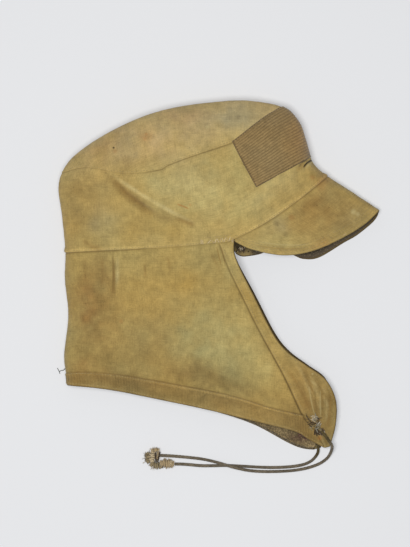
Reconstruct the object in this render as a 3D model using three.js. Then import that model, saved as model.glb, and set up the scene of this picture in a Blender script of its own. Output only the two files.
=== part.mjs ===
// A winter field cap of old khaki cotton, lying on its left side: a soft crown with a lens-shaped top
// panel, a ribbed patch over the front, a short folded peak, and a long neck flap that a drawcord closes
// under the chin. The cap is folded flat along its middle, so each half is one wall: the right half lies on
// top and the left half lies on the surface. +X points to the tip of the peak, +Y to the crown and +Z up, all
// in millimetres. The origin is on the surface, under the middle of the cap without its cords.
import * as THREE from "three";

// Driving dimensions
const CLOTH = 2; // doubled cotton of the crown, flap and peak
const LINING = 2.5; // wool pile inside the flap and crown
const PEAK_LINING = 1.5;
const PATCH = 1.3;
const SEAM_GAP = 1; // between two pieces that are sewn edge to edge
const LAYER_GAP = 1; // between cloth and lining
const PATCH_GAP = 1.3; // between cloth and patch
const CROWN_ROOM = 1; // more of it in the crown, where the lining hangs looser
const CREASE_ROOM = 3.5; // and where the lining bridges the creases of the crown
const FOLD_GAP = 0.5; // between the two halves where they meet on the fold
const CORD_DIAMETER = 3.4;

// The fold: the cap's middle line, from the hem up the back, over the crown and down the ridge of the peak.
// height is the fold's own height over the surface, and round how far in the right wall curves to level.
const FOLD = [
  { name: "hem", x: -162, y: -115.5, height: 9, round: 10 },
  { name: "band", x: -162.5, y: -103, height: 9, round: 11 },
  { x: -164, y: -82, height: 10, round: 12 },
  { x: -160.5, y: -42, height: 11, round: 15 },
  { x: -164, y: -4, height: 13, round: 17 },
  { name: "flap_seam", x: -163.5, y: 25, height: 14, round: 20 },
  { x: -167, y: 64, height: 17, round: 26 },
  { x: -169.5, y: 91, height: 19, round: 29 },
  { name: "top_seam_back", x: -167, y: 109, height: 20, round: 30 },
  { x: -154, y: 127, height: 21, round: 31 },
  { x: -121, y: 150.5, height: 22, round: 32 },
  { x: -84, y: 168.5, height: 22, round: 33 },
  { x: -48, y: 179, height: 22, round: 34 },
  { x: -10, y: 184, height: 22, round: 34 },
  { x: 28, y: 185.5, height: 22, round: 33 },
  { name: "patch_top", x: 66, y: 179, height: 21, round: 30 },
  { name: "top_seam_front", x: 83, y: 164, height: 20, round: 27 },
  { x: 90.5, y: 146, height: 18, round: 24 },
  { name: "patch_bottom", x: 96.5, y: 126, height: 16, round: 18 },
  { x: 102.5, y: 116, height: 14, round: 15 },
  { name: "peak_seam", x: 114.5, y: 106, height: 13, round: 13 },
  { x: 137, y: 91.5, height: 11, round: 11 },
  { x: 158, y: 78.5, height: 9, round: 9 },
  { name: "tip", x: 169, y: 69, height: 8, round: 8 },
];

// Lower edge of the crown, from the back to the front. The flap is sewn on up to the ear, and the peak from
// there.
const CROWN_BASE = [
  { name: "back", x: -163.5, y: 25 },
  { x: -118, y: 27.5 },
  { x: -58, y: 30.5 },
  { name: "facing", x: -1, y: 35.5 },
  { name: "ear", x: 15, y: 39.5 },
  { x: 52, y: 58.5 },
  { x: 87, y: 83.5 },
  { name: "front", x: 114.5, y: 106 },
];

// Seam between the crown's side and its top panel, from the back to the front.
const TOP_SEAM = [
  { x: -167, y: 109 },
  { x: -141, y: 114.5 },
  { x: -100, y: 108 },
  { x: -62, y: 111 },
  { x: -28, y: 125.5 },
  { x: 11, y: 139.5 },
  { x: 50, y: 154.5 },
  { x: 83, y: 164 },
];

// Seam between the flap and the facing of the face opening, from the crown down to the chin.
const FACING_SEAM = [
  { name: "crown", x: -1, y: 35.5, left_x: -1, left_y: 35.5 },
  { x: 9, y: 9, left_x: 9, left_y: 9 },
  { x: 25, y: -24, left_x: 25, left_y: -24 },
  { x: 42, y: -58, left_x: 41, left_y: -58 },
  { x: 68.5, y: -107, left_x: 66, left_y: -108 },
  { name: "band", x: 88, y: -148, left_x: 82, left_y: -158 },
  { x: 101, y: -164, left_x: 92, left_y: -173 },
  { name: "chin", x: 111.5, y: -182, left_x: 100, left_y: -184.5 },
];

// Free edge of the face opening, from the ear down to the chin. The left half shows a little past the right.
const FACE_EDGE = [
  { x: 15, y: 39.5, left_x: 15, left_y: 39.5 },
  { x: 17.5, y: 19.5, left_x: 19.5, left_y: 19 },
  { x: 36.5, y: -19.5, left_x: 39, left_y: -18.5 },
  { x: 58, y: -62, left_x: 60.5, left_y: -61 },
  { x: 73, y: -81, left_x: 74, left_y: -80 },
  { x: 93, y: -95, left_x: 91, left_y: -96 },
  { x: 113, y: -110, left_x: 107, left_y: -110 },
  { x: 123, y: -132, left_x: 116, left_y: -132 },
  { x: 123, y: -157, left_x: 116, left_y: -157 },
  { x: 117, y: -180.5, left_x: 107.5, left_y: -182.5 },
];

// The hem band's upper seam and the hem itself, from the back to the chin. The left half hangs lower there.
const BAND_SEAM = [
  { x: -162.5, y: -103, left_x: -162.5, left_y: -103 },
  { x: -143, y: -102, left_x: -143, left_y: -102 },
  { x: -106, y: -105, left_x: -106, left_y: -105 },
  { x: -46, y: -115.5, left_x: -46, left_y: -116 },
  { x: 11, y: -127, left_x: 11, left_y: -131 },
  { x: 54, y: -140, left_x: 50, left_y: -149 },
  { x: 88, y: -148, left_x: 82, left_y: -158 },
];
const HEM = [
  { x: -162, y: -115.5, left_x: -162, left_y: -115.5 },
  { x: -118, y: -120, left_x: -118, left_y: -120 },
  { x: -64, y: -130.5, left_x: -64, left_y: -131 },
  { x: -12, y: -141.5, left_x: -12, left_y: -142 },
  { x: 35, y: -153, left_x: 35, left_y: -157 },
  { x: 80, y: -164.5, left_x: 73, left_y: -177 },
  { x: 95, y: -173, left_x: 88, left_y: -183 },
  { x: 111.5, y: -182, left_x: 100, left_y: -184.5 },
];

// Free edge of the peak, from its tip back to the ear.
const PEAK_EDGE = [
  { x: 169, y: 69, left_x: 169, left_y: 69 },
  { x: 151, y: 53, left_x: 160.5, left_y: 50 },
  { x: 119, y: 35, left_x: 133, left_y: 34 },
  { x: 92, y: 25, left_x: 104, left_y: 19.5 },
  { x: 64, y: 22.5, left_x: 78, left_y: 21.5 },
  { x: 33, y: 29, left_x: 34, left_y: 22.5 },
  { x: 16.5, y: 36.8, left_x: 18.5, left_y: 33 },
];

// The patch: its back edge, top edge and lower edge, all on the crown.
const PATCH_BACK = [
  { x: 13.5, y: 141 },
  { x: 25, y: 118.5 },
  { x: 38.5, y: 94 },
];
const PATCH_TOP = [
  { x: 66, y: 179 },
  { x: 46, y: 166.5 },
  { x: 13.5, y: 141 },
];
const PATCH_LOWER = [
  { x: 96.5, y: 126 },
  { x: 84, y: 119 },
  { x: 38.5, y: 94 },
];

// Height of the right wall: a flat level and the soft swells on it, each an oval hill or hollow.
const LEVEL = 20;
const SWELLS = [
  { name: "crown", x: -50, y: 98, half_x: 115, half_y: 105, rise: 38 },
  { name: "front", x: 52, y: 125, half_x: 60, half_y: 60, rise: 14 },
  { name: "ear", x: 5, y: 25, half_x: 50, half_y: 40, rise: -3 },
  { name: "flap", x: -70, y: -60, half_x: 80, half_y: 60, rise: 5 },
  { name: "chin", x: 105, y: -165, half_x: 45, half_y: 45, rise: -5 },
  { name: "peak", x: 140, y: 40, half_x: 60, half_y: 45, rise: -6 },
];
// Creases in the right wall: a furrow along a line, with the cloth bulging up again on its upper side.
const CREASES = [
  { name: "crown_diagonal", from_x: -116, from_y: 92, to_x: -30, to_y: 44, width: 11, depth: 4.5 },
  { name: "front_tuck", from_x: 74, from_y: 106, to_x: 94, to_y: 119, width: 6, depth: 2.5 },
];

// The left wall lies on the surface, and stands a little higher where the patch lies under it.
const LEFT_LEVEL = CLOTH / 2;
const PATCH_ROOM = { x: 60, y: 138, inner: 54, outer: 92, rise: PATCH_GAP + PATCH };

// Stations round a fold, as shares of its rounding: closer together where the cloth turns fastest.
const ROUND_STOPS = [0, 0.1, 0.4, 1];
const FLAP_LINING_START = 0.03; // the linings end this share of the rounding away from the fold
const CROWN_LINING_START = 0.1;

const smooth = (t) => {
  const c = Math.min(1, Math.max(0, t));
  return c * c * (3 - 2 * c);
};

// Catmull-Rom curve through the rows, as a fine polyline of [x, y, height, round] with its running length.
// at gives the point at a fraction of the length, and station the fraction at a named row.
function track(rows, left = false) {
  const side = (r) => (left && "left_x" in r ? [r.left_x, r.left_y] : [r.x, r.y]);
  const points = rows.map((r) => [...side(r), r.height ?? 0, r.round ?? 0]);
  const STEPS = 12;
  const samples = [points[0]];
  const starts = { [rows[0].name]: 0 };
  for (let k = 0; k + 1 < points.length; k++) {
    const row = (i) => points[Math.min(points.length - 1, Math.max(0, i))];
    const [a, b, c, d] = [row(k - 1), row(k), row(k + 1), row(k + 2)];
    for (let s = 1; s <= STEPS; s++) {
      const t = s / STEPS;
      samples.push(
        b.map(
          (_, i) =>
            0.5 *
            (2 * b[i] +
              (c[i] - a[i]) * t +
              (2 * a[i] - 5 * b[i] + 4 * c[i] - d[i]) * t * t +
              (3 * b[i] - a[i] - 3 * c[i] + d[i]) * t * t * t),
        ),
      );
    }
    if (rows[k + 1].name) starts[rows[k + 1].name] = samples.length - 1;
  }
  const lengths = [0];
  for (let i = 1; i < samples.length; i++) {
    const [p, q] = [samples[i - 1], samples[i]];
    lengths.push(lengths[i - 1] + Math.hypot(q[0] - p[0], q[1] - p[1]));
  }
  const total = lengths[lengths.length - 1];
  const at = (fraction) => {
    const s = Math.min(1, Math.max(0, fraction)) * total;
    let i = 1;
    while (i < lengths.length - 1 && lengths[i] < s) i++;
    const t = (s - lengths[i - 1]) / (lengths[i] - lengths[i - 1]);
    return samples[i - 1].map((v, k) => v + (samples[i][k] - v) * t);
  };
  const station = (name) => lengths[starts[name]] / total;
  return { samples, at, station };
}

// The stretch of a track between two fractions, as a function from 0 to 1. It runs backwards if from is the
// larger.
const stretch = (line, from = 0, to = 1) => (t) => line.at(from + (to - from) * t);

const fold = track(FOLD);
const foldPart = (from, to) => stretch(fold, fold.station(from), fold.station(to));

// The nearest point of the fold: how far in from it a point lies, the way in, and the fold's height and
// rounding.
function fromFold(x, y) {
  let best = { far: Infinity };
  for (let i = 1; i < fold.samples.length; i++) {
    const [a, b] = [fold.samples[i - 1], fold.samples[i]];
    const [ex, ey] = [b[0] - a[0], b[1] - a[1]];
    const length = Math.hypot(ex, ey);
    const t = Math.min(1, Math.max(0, ((x - a[0]) * ex + (y - a[1]) * ey) / (length * length)));
    const [dx, dy] = [x - a[0] - ex * t, y - a[1] - ey * t];
    const far = Math.hypot(dx, dy);
    if (far < best.far) {
      const inward = far > 0.01 ? [dx / far, dy / far] : [ey / length, -ex / length];
      best = { far, inward, height: a[2] + (b[2] - a[2]) * t, round: a[3] + (b[3] - a[3]) * t };
    }
  }
  return best;
}

// Height of the right wall where it has curved over from the fold, without its creases.
function rightSwell(x, y) {
  let z = LEVEL;
  for (const s of SWELLS) {
    const far = Math.hypot((x - s.x) / s.half_x, (y - s.y) / s.half_y);
    z += s.rise * Math.exp(-far * far);
  }
  return z;
}

function creases(x, y) {
  let rise = 0;
  for (const c of CREASES) {
    const [ex, ey] = [c.to_x - c.from_x, c.to_y - c.from_y];
    const length = Math.hypot(ex, ey);
    const along = ((x - c.from_x) * ex + (y - c.from_y) * ey) / (length * length);
    const across = ((y - c.from_y) * ex - (x - c.from_x) * ey) / length / c.width;
    const reach = smooth(along / 0.3) * smooth((1 - along) / 0.3);
    rise += c.depth * reach * (across - 0.6) * Math.exp(-across * across);
  }
  return rise;
}

function leftLevel(x, y) {
  const { inner, outer, rise } = PATCH_ROOM;
  const far = Math.hypot(x - PATCH_ROOM.x, y - PATCH_ROOM.y);
  return LEFT_LEVEL + rise * (1 - smooth((far - inner) / (outer - inner)));
}

// The surfaces that cloth follows.
const RIGHT_CLOTH = { side: 1, level: (x, y) => rightSwell(x, y) + creases(x, y), reach: (f) => f.round };
const LEFT_CLOTH = { side: -1, level: leftLevel, reach: (f) => 1.2 * f.height };
const RIGHT_CROWN_LINING = { ...RIGHT_CLOTH, level: (x, y) => rightSwell(x, y) - CREASE_ROOM };

// The middle of the cloth at x, y on a surface, with the direction out of the cap.
function wallAt({ side, level, reach }, [x, y]) {
  const STEP = 0.5;
  const f = fromFold(x, y);
  const z = level(x, y);
  const left = 1 - Math.min(1, f.far / reach(f));
  const turn = Math.sqrt(1 - left * left);
  const start = f.height + (side * FOLD_GAP) / 2;
  const climb = z - start;
  const slope = [(level(x + STEP, y) - z) / STEP, (level(x, y + STEP) - z) / STEP];
  const out = [0, 1].map((k) => side * (-(climb * left) / reach(f) * f.inward[k] - turn * turn * slope[k]));
  return {
    point: new THREE.Vector3(x, y, start + climb * turn),
    out: new THREE.Vector3(out[0], out[1], side * turn).normalize(),
  };
}

// Blends four edges into a patch of x, y. near and far run along it, start and end from near to far.
function patch(near, far, start, end) {
  const corners = [near(0), near(1), far(0), far(1)];
  return (u, w) =>
    [0, 1].map(
      (k) =>
        near(u)[k] * (1 - w) +
        far(u)[k] * w +
        start(w)[k] * (1 - u) +
        end(w)[k] * u -
        (corners[0][k] * (1 - u) + corners[1][k] * u) * (1 - w) -
        (corners[2][k] * (1 - u) + corners[3][k] * u) * w,
    );
}

// A closed wall from a grid of { point, out }: thickness is the wall's own, and lift is how far out of the
// middle of the cloth it lies.
function cloth(grid, thickness, lift = 0) {
  const [rows, columns] = [grid.length, grid[0].length];
  const positions = [];
  for (const face of [0.5, -0.5])
    for (const row of grid)
      for (const g of row) positions.push(...g.point.clone().addScaledVector(g.out, lift + face * thickness));
  const outer = (i, j) => i * columns + j;
  const inner = (i, j) => rows * columns + outer(i, j);
  const index = [];
  const quad = (a, b, c, d) => index.push(a, b, c, a, c, d);
  for (let i = 0; i + 1 < rows; i++)
    for (let j = 0; j + 1 < columns; j++) {
      quad(outer(i, j), outer(i + 1, j), outer(i + 1, j + 1), outer(i, j + 1));
      quad(inner(i, j), inner(i, j + 1), inner(i + 1, j + 1), inner(i + 1, j));
    }
  for (let i = 0; i + 1 < rows; i++) {
    quad(outer(i, 0), inner(i, 0), inner(i + 1, 0), outer(i + 1, 0));
    quad(outer(i + 1, columns - 1), inner(i + 1, columns - 1), inner(i, columns - 1), outer(i, columns - 1));
  }
  for (let j = 0; j + 1 < columns; j++) {
    quad(outer(0, j + 1), inner(0, j + 1), inner(0, j), outer(0, j));
    quad(outer(rows - 1, j), inner(rows - 1, j), inner(rows - 1, j + 1), outer(rows - 1, j + 1));
  }
  return facingOut(positions, index);
}

// The geometry of a closed surface, with its triangles turned round if they point inwards.
function facingOut(positions, index) {
  const p = (i) => new THREE.Vector3().fromArray(positions, 3 * i);
  let volume = 0;
  for (let i = 0; i < index.length; i += 3) volume += p(index[i]).dot(p(index[i + 1]).cross(p(index[i + 2])));
  if (volume < 0) index.reverse();
  const geometry = new THREE.BufferGeometry();
  geometry.setAttribute("position", new THREE.Float32BufferAttribute(positions, 3));
  geometry.setIndex(index);
  geometry.computeVertexNormals();
  return geometry;
}

// Stations along one row of a piece, from 0 to 1. An end on the fold takes the stations round it, and a cut
// end keeps half a seam's gap to its neighbour.
function stations({ length, count, foldLow = 0, foldHigh = 0, cutLow = 0, cutHigh = 0, foldStart = 0 }) {
  const round = (reach) => ROUND_STOPS.map((s) => Math.max(s, foldStart) * Math.min(reach, 0.4 * length));
  const low = foldLow ? round(foldLow) : [cutLow];
  const high = foldHigh ? round(foldHigh).map((s) => length - s).reverse() : [length - cutHigh];
  const [from, to] = [low[low.length - 1], high[0]];
  const between = Array.from({ length: count - 1 }, (_, i) => from + ((to - from) * (i + 1)) / count);
  return [...low, ...between, ...high].map((s) => s / length);
}

const CUT = SEAM_GAP / 2;

// The points of a piece's row at v, which starts on the fold and ends there too if bothFolds is set.
function rowOf(shape, v, surface, count, { bothFolds = false, cutHigh = CUT, foldStart = 0 } = {}) {
  const MEASURES = 24;
  let length = 0;
  for (let i = 0; i < MEASURES; i++) {
    const [a, b] = [shape(v, i / MEASURES), shape(v, (i + 1) / MEASURES)];
    length += Math.hypot(b[0] - a[0], b[1] - a[1]);
  }
  const foldLow = surface.reach(fromFold(...shape(v, 0)));
  const foldHigh = bothFolds ? surface.reach(fromFold(...shape(v, 1))) : 0;
  return stations({ length, count, foldLow, foldHigh, cutHigh, foldStart }).map((w) => shape(v, w));
}

// One wall on one surface. Every row runs from the fold to the fold, or to a cut or free edge.
const oneSide = (shape, surface, vs, count, ends) =>
  vs.map((v) => rowOf(shape, v, surface, count, ends).map((p) => wallAt(surface, p)));

// A piece folded over the cap's middle line: each row is its right half, the fold and its left half.
function foldedOver(rightShape, leftShape, vs, count, ends) {
  return vs.map((v) => {
    const right = rowOf(rightShape, v, RIGHT_CLOTH, count, ends).map((p) => wallAt(RIGHT_CLOTH, p));
    const left = rowOf(leftShape, v, LEFT_CLOTH, count, ends).map((p) => wallAt(LEFT_CLOTH, p));
    const onFold = right[0];
    onFold.point.z -= FOLD_GAP / 2;
    onFold.out.setZ(0).normalize();
    return [...right.slice(1).reverse(), onFold, ...left.slice(1)];
  });
}

// The outlines that the pieces share, for the right (false) and left (true) half.
function outlines(left) {
  return {
    base: track(CROWN_BASE, left),
    topSeam: track(TOP_SEAM, left),
    facingSeam: track(FACING_SEAM, left),
    faceEdge: track(FACE_EDGE, left),
    bandSeam: track(BAND_SEAM, left),
    hem: track(HEM, left),
    peakEdge: track(PEAK_EDGE, left),
    patchBack: track(PATCH_BACK, left),
    patchTop: track(PATCH_TOP, left),
    patchLower: track(PATCH_LOWER, left),
  };
}
const RIGHT = outlines(false);
const LEFT = outlines(true);
const halves = {
  right: { lines: RIGHT, surface: RIGHT_CLOTH, crownInside: RIGHT_CROWN_LINING, fine: true },
  left: { lines: LEFT, surface: LEFT_CLOTH, crownInside: LEFT_CLOTH, fine: false },
};

// A straight line between the ends of two tracks.
const between = (p, q) => (t) => p.map((v, k) => v + (q[k] - v) * t);

// Crown top: a lens between the fold and the seam on each side.
const topShape = (o) =>
  patch(
    foldPart("top_seam_back", "top_seam_front"),
    stretch(o.topSeam),
    () => o.topSeam.at(0),
    () => o.topSeam.at(1),
  );
function crownTop() {
  const ROWS = 20;
  const TIP_CUT = 0.02; // the two pointed ends are cut off here, under the seams
  const spread = (i) => (1 - Math.cos((Math.PI * i) / ROWS)) / 2;
  const vs = Array.from({ length: ROWS + 1 }, (_, i) => TIP_CUT + (1 - 2 * TIP_CUT) * spread(i));
  return cloth(foldedOver(topShape(RIGHT), topShape(LEFT), vs, 2), CLOTH);
}

// Crown side: a band whose rows run from the back fold round to the front fold.
const sideShape = (o) =>
  patch(
    foldPart("flap_seam", "top_seam_back"),
    foldPart("peak_seam", "top_seam_front"),
    stretch(o.base),
    stretch(o.topSeam),
  );
function crownSide({ lines, surface, fine }) {
  const vs = stations({ length: 90, count: fine ? 7 : 5, cutLow: CUT, cutHigh: CUT });
  return cloth(oneSide(sideShape(lines), surface, vs, fine ? 15 : 11, { bothFolds: true }), CLOTH);
}

// Crown lining: the side and top of one half in one piece, inside the cloth.
const LINING_LIFT = -(CLOTH / 2 + LAYER_GAP + LINING / 2);
function crownLining({ lines, crownInside }) {
  const shape = patch(
    foldPart("flap_seam", "top_seam_back"),
    foldPart("peak_seam", "top_seam_front"),
    stretch(lines.base),
    foldPart("top_seam_back", "top_seam_front"),
  );
  const vs = stations({ length: 130, count: 6, cutLow: CUT, foldHigh: 30, foldStart: CROWN_LINING_START });
  const ends = { bothFolds: true, foldStart: CROWN_LINING_START };
  return cloth(oneSide(shape, crownInside, vs, 10, ends), LINING, LINING_LIFT - CROWN_ROOM);
}

// The patch: folded over the front of the crown, outside the cloth.
const patchShape = (o) =>
  patch(
    foldPart("patch_top", "patch_bottom"),
    stretch(o.patchBack),
    stretch(o.patchTop),
    stretch(o.patchLower),
  );
function frontPatch() {
  const vs = stations({ length: 60, count: 8 });
  const grid = foldedOver(patchShape(RIGHT), patchShape(LEFT), vs, 4, { cutHigh: 0 });
  return cloth(grid, PATCH, CLOTH / 2 + PATCH_GAP + PATCH / 2);
}

// The peak: folded over its ridge, from the crown's seam to its free edge.
const peakShape = (o) =>
  patch(
    foldPart("peak_seam", "tip"),
    between(o.base.at(o.base.station("ear")), o.peakEdge.at(1)),
    stretch(o.base, 1, o.base.station("ear")),
    stretch(o.peakEdge),
  );
function peak(thickness, lift, edgeCut) {
  const vs = stations({ length: 60, count: 6, cutLow: CUT, cutHigh: edgeCut });
  return cloth(foldedOver(peakShape(RIGHT), peakShape(LEFT), vs, 5), thickness, lift);
}

// Neck flap: from the crown's seam down to the hem band, and from the back fold to the facing.
const flapShape = (o) =>
  patch(
    foldPart("flap_seam", "band"),
    stretch(o.facingSeam, 0, o.facingSeam.station("band")),
    stretch(o.base, 0, o.base.station("facing")),
    stretch(o.bandSeam),
  );
function neckFlap({ lines, surface, fine }) {
  const vs = stations({ length: 130, count: fine ? 9 : 7, cutLow: CUT, cutHigh: CUT });
  return cloth(oneSide(flapShape(lines), surface, vs, fine ? 9 : 7), CLOTH);
}

// Facing: the strip along the face opening, which widens to the chin.
function faceFacing({ lines, surface }) {
  const shape = patch(
    stretch(lines.facingSeam),
    stretch(lines.faceEdge),
    stretch(lines.base, lines.base.station("facing"), lines.base.station("ear")),
    between(lines.facingSeam.at(1), lines.faceEdge.at(1)),
  );
  const vs = stations({ length: 230, count: 14, cutLow: CUT, cutHigh: CUT });
  const ws = stations({ length: 14, count: 3, cutLow: CUT });
  return cloth(vs.map((v) => ws.map((w) => wallAt(surface, shape(v, w)))), CLOTH);
}

// Hem band: a casing along the whole lower edge, folded round the back.
const bandShape = (o) =>
  patch(
    foldPart("band", "hem"),
    stretch(o.facingSeam, o.facingSeam.station("band"), 1),
    stretch(o.bandSeam),
    stretch(o.hem),
  );
function hemBand() {
  const vs = stations({ length: 14, count: 2, cutLow: CUT });
  return cloth(foldedOver(bandShape(RIGHT), bandShape(LEFT), vs, 10), CLOTH);
}

// Flap lining: inside the flap, the facing and the band, a little short of the free edges.
function flapLining({ lines, surface }) {
  const SHORT = 3;
  const shape = patch(
    foldPart("flap_seam", "hem"),
    stretch(lines.faceEdge),
    stretch(lines.base, 0, lines.base.station("ear")),
    stretch(lines.hem),
  );
  const vs = stations({ length: 145, count: 9, cutLow: CUT, cutHigh: SHORT });
  const ends = { cutHigh: SHORT, foldStart: FLAP_LINING_START };
  return cloth(oneSide(shape, surface, vs, 9, ends), LINING, LINING_LIFT);
}

// The drawcord's two ends, each from the chin along the surface to its knot. z is the middle of the cord.
const CORD_REST = CORD_DIAMETER / 2 + 0.1;
const RIGHT_CORD = [
  { x: 108, y: -164.5, z: 18.3 },
  { x: 112.5, y: -170, z: 18.9 },
  { x: 116.5, y: -175.5, z: 19.4 },
  { x: 120.4, y: -180, z: 17.2 },
  { x: 121.3, y: -184.5, z: 11.4 },
  { x: 119, y: -190, z: 5.6 },
  { x: 113.5, y: -195, z: 2.4 },
  { x: 105, y: -200.5, z: CORD_REST },
  { x: 91, y: -205, z: CORD_REST },
  { x: 74, y: -207.5, z: CORD_REST },
  { x: 51, y: -208.3, z: CORD_REST },
  { x: 33, y: -207.3, z: 2.6 },
  { x: 19, y: -204.5, z: 4.7 },
  { x: 8, y: -201.5, z: 5.7 },
  { x: -4, y: -198, z: 4.4 },
  { x: -18, y: -195, z: 2.3 },
  { x: -32, y: -193.3, z: CORD_REST },
  { x: -46, y: -192, z: 2.2 },
  { x: -56, y: -191.3, z: 3.5 },
  { x: -63.9, y: -190.9, z: 4.8 },
];
const LEFT_CORD = [
  { x: 104.5, y: -178.5, z: 8 },
  { x: 105, y: -183, z: 6 },
  { x: 104.8, y: -187.5, z: 3.6 },
  { x: 102.5, y: -192, z: 2.1 },
  { x: 97.5, y: -197, z: CORD_REST },
  { x: 89.5, y: -200.7, z: CORD_REST },
  { x: 76.5, y: -203, z: CORD_REST },
  { x: 58.5, y: -203.9, z: CORD_REST },
  { x: 41, y: -203.5, z: CORD_REST },
  { x: 24, y: -202.5, z: CORD_REST },
  { x: 9, y: -201.8, z: CORD_REST },
  { x: -6, y: -202, z: CORD_REST },
  { x: -19, y: -202, z: CORD_REST },
  { x: -31, y: -201, z: CORD_REST },
  { x: -40, y: -200.3, z: 2.8 },
  { x: -47.6, y: -200.1, z: 4.4 },
];
function cord(rows, steps) {
  const SIDES = 8;
  const path = new THREE.CatmullRomCurve3(rows.map((r) => new THREE.Vector3(r.x, r.y, r.z)));
  const section = new THREE.Shape();
  for (let k = 0; k < SIDES; k++) {
    const angle = (2 * Math.PI * k) / SIDES;
    const [x, y] = [Math.cos(angle) * (CORD_DIAMETER / 2), Math.sin(angle) * (CORD_DIAMETER / 2)];
    if (k) section.lineTo(x, y);
    else section.moveTo(x, y);
  }
  return new THREE.ExtrudeGeometry(section, { steps, extrudePath: path, bevelEnabled: false });
}

// The knots at the cord's ends: lumps of wound pale yarn, a little uneven.
const KNOT_RIGHT = { x: -72, y: -190, z: 6.3, half_x: 7.8, half_y: 7.6, half_z: 6, turn: 12 };
const KNOT_LEFT = { x: -59.5, y: -201.5, z: 5.5, half_x: 12, half_y: 5, half_z: 5.2, turn: 6 };
function knot(k) {
  const UNEVEN = 0.06;
  const geometry = new THREE.SphereGeometry(1, 14, 9);
  const p = geometry.attributes.position;
  for (let i = 0; i < p.count; i++) {
    const v = new THREE.Vector3().fromBufferAttribute(p, i);
    const swell = 1 + UNEVEN * Math.sin(4 * v.x + 1) * Math.cos(5 * v.y) * Math.cos(3 * v.z);
    p.setXYZ(i, v.x * k.half_x * swell, v.y * k.half_y * swell, v.z * k.half_z * (v.z < 0 ? 1 : swell));
  }
  geometry.rotateZ(THREE.MathUtils.degToRad(k.turn));
  geometry.translate(k.x, k.y, k.z);
  return geometry;
}

const COLOURS = {
  khaki: new THREE.MeshStandardMaterial({ color: 0xa78f5c, roughness: 0.95, metalness: 0 }),
  ribbed: new THREE.MeshStandardMaterial({ color: 0x8c7249, roughness: 0.95, metalness: 0 }),
  pile: new THREE.MeshStandardMaterial({ color: 0x6b5a3a, roughness: 1, metalness: 0 }),
  brown: new THREE.MeshStandardMaterial({ color: 0x4f4230, roughness: 0.9, metalness: 0 }),
  cord: new THREE.MeshStandardMaterial({ color: 0x62543f, roughness: 0.85, metalness: 0 }),
  yarn: new THREE.MeshStandardMaterial({ color: 0xb39d78, roughness: 0.95, metalness: 0 }),
};

const PEAK_LINING_LIFT = -(CLOTH / 2 + LAYER_GAP / 2 + PEAK_LINING / 2);
const cap = new THREE.Group();
function add(name, geometry, material) {
  const mesh = new THREE.Mesh(geometry, material);
  mesh.name = name;
  cap.add(mesh);
}
add("crown_top", crownTop(), COLOURS.khaki);
add("front_patch", frontPatch(), COLOURS.ribbed);
add("peak_cover", peak(CLOTH, 0, 0), COLOURS.khaki);
add("peak_lining", peak(PEAK_LINING, PEAK_LINING_LIFT, 1), COLOURS.brown);
add("hem_band", hemBand(), COLOURS.khaki);
for (const [name, half] of Object.entries(halves)) {
  add(`crown_side_${name}`, crownSide(half), COLOURS.khaki);
  add(`crown_lining_${name}`, crownLining(half), COLOURS.pile);
  add(`neck_flap_${name}`, neckFlap(half), COLOURS.khaki);
  add(`face_facing_${name}`, faceFacing(half), COLOURS.khaki);
  add(`flap_lining_${name}`, flapLining(half), COLOURS.pile);
}
add("drawcord_right", cord(RIGHT_CORD, 42), COLOURS.cord);
add("drawcord_left", cord(LEFT_CORD, 34), COLOURS.cord);
add("end_knot_right", knot(KNOT_RIGHT), COLOURS.yarn);
add("end_knot_left", knot(KNOT_LEFT), COLOURS.yarn);

export default cap;
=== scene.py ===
"""The looks of a winter field cap that lies on its left side: canvas walls with their folds, seams, stitches
and stains, a corduroy patch, pile lining, a braided drawcord and wound knots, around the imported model."""
import math
from types import SimpleNamespace

import bpy
import numpy as np
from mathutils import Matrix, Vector
from mathutils.bvhtree import BVHTree


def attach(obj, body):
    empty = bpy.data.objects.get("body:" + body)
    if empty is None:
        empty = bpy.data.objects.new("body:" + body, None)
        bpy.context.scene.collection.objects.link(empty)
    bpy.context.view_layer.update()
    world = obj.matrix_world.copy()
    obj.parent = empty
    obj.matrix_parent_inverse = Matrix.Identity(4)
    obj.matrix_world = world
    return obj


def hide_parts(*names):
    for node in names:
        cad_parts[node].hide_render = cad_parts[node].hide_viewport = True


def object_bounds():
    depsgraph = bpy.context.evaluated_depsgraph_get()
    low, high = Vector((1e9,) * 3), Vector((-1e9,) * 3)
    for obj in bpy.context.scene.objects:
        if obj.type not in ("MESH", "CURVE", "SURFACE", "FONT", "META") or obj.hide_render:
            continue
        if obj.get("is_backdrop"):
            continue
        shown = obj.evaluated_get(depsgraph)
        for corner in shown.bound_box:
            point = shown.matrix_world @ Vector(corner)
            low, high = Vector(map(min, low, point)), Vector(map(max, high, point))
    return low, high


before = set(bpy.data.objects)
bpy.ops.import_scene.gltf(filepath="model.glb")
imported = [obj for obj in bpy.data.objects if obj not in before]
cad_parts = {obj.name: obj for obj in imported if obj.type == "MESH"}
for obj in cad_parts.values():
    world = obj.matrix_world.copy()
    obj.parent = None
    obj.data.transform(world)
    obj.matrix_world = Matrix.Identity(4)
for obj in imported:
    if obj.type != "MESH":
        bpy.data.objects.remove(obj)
CAD_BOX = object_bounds()

MM = 0.001  # the tables below are in millimetres, and Blender is in metres


def named(columns, *rows):
    """A small table: each row as a dictionary of its named columns."""
    keys = columns.split()
    return [dict(zip(keys, row)) for row in rows]


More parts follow.
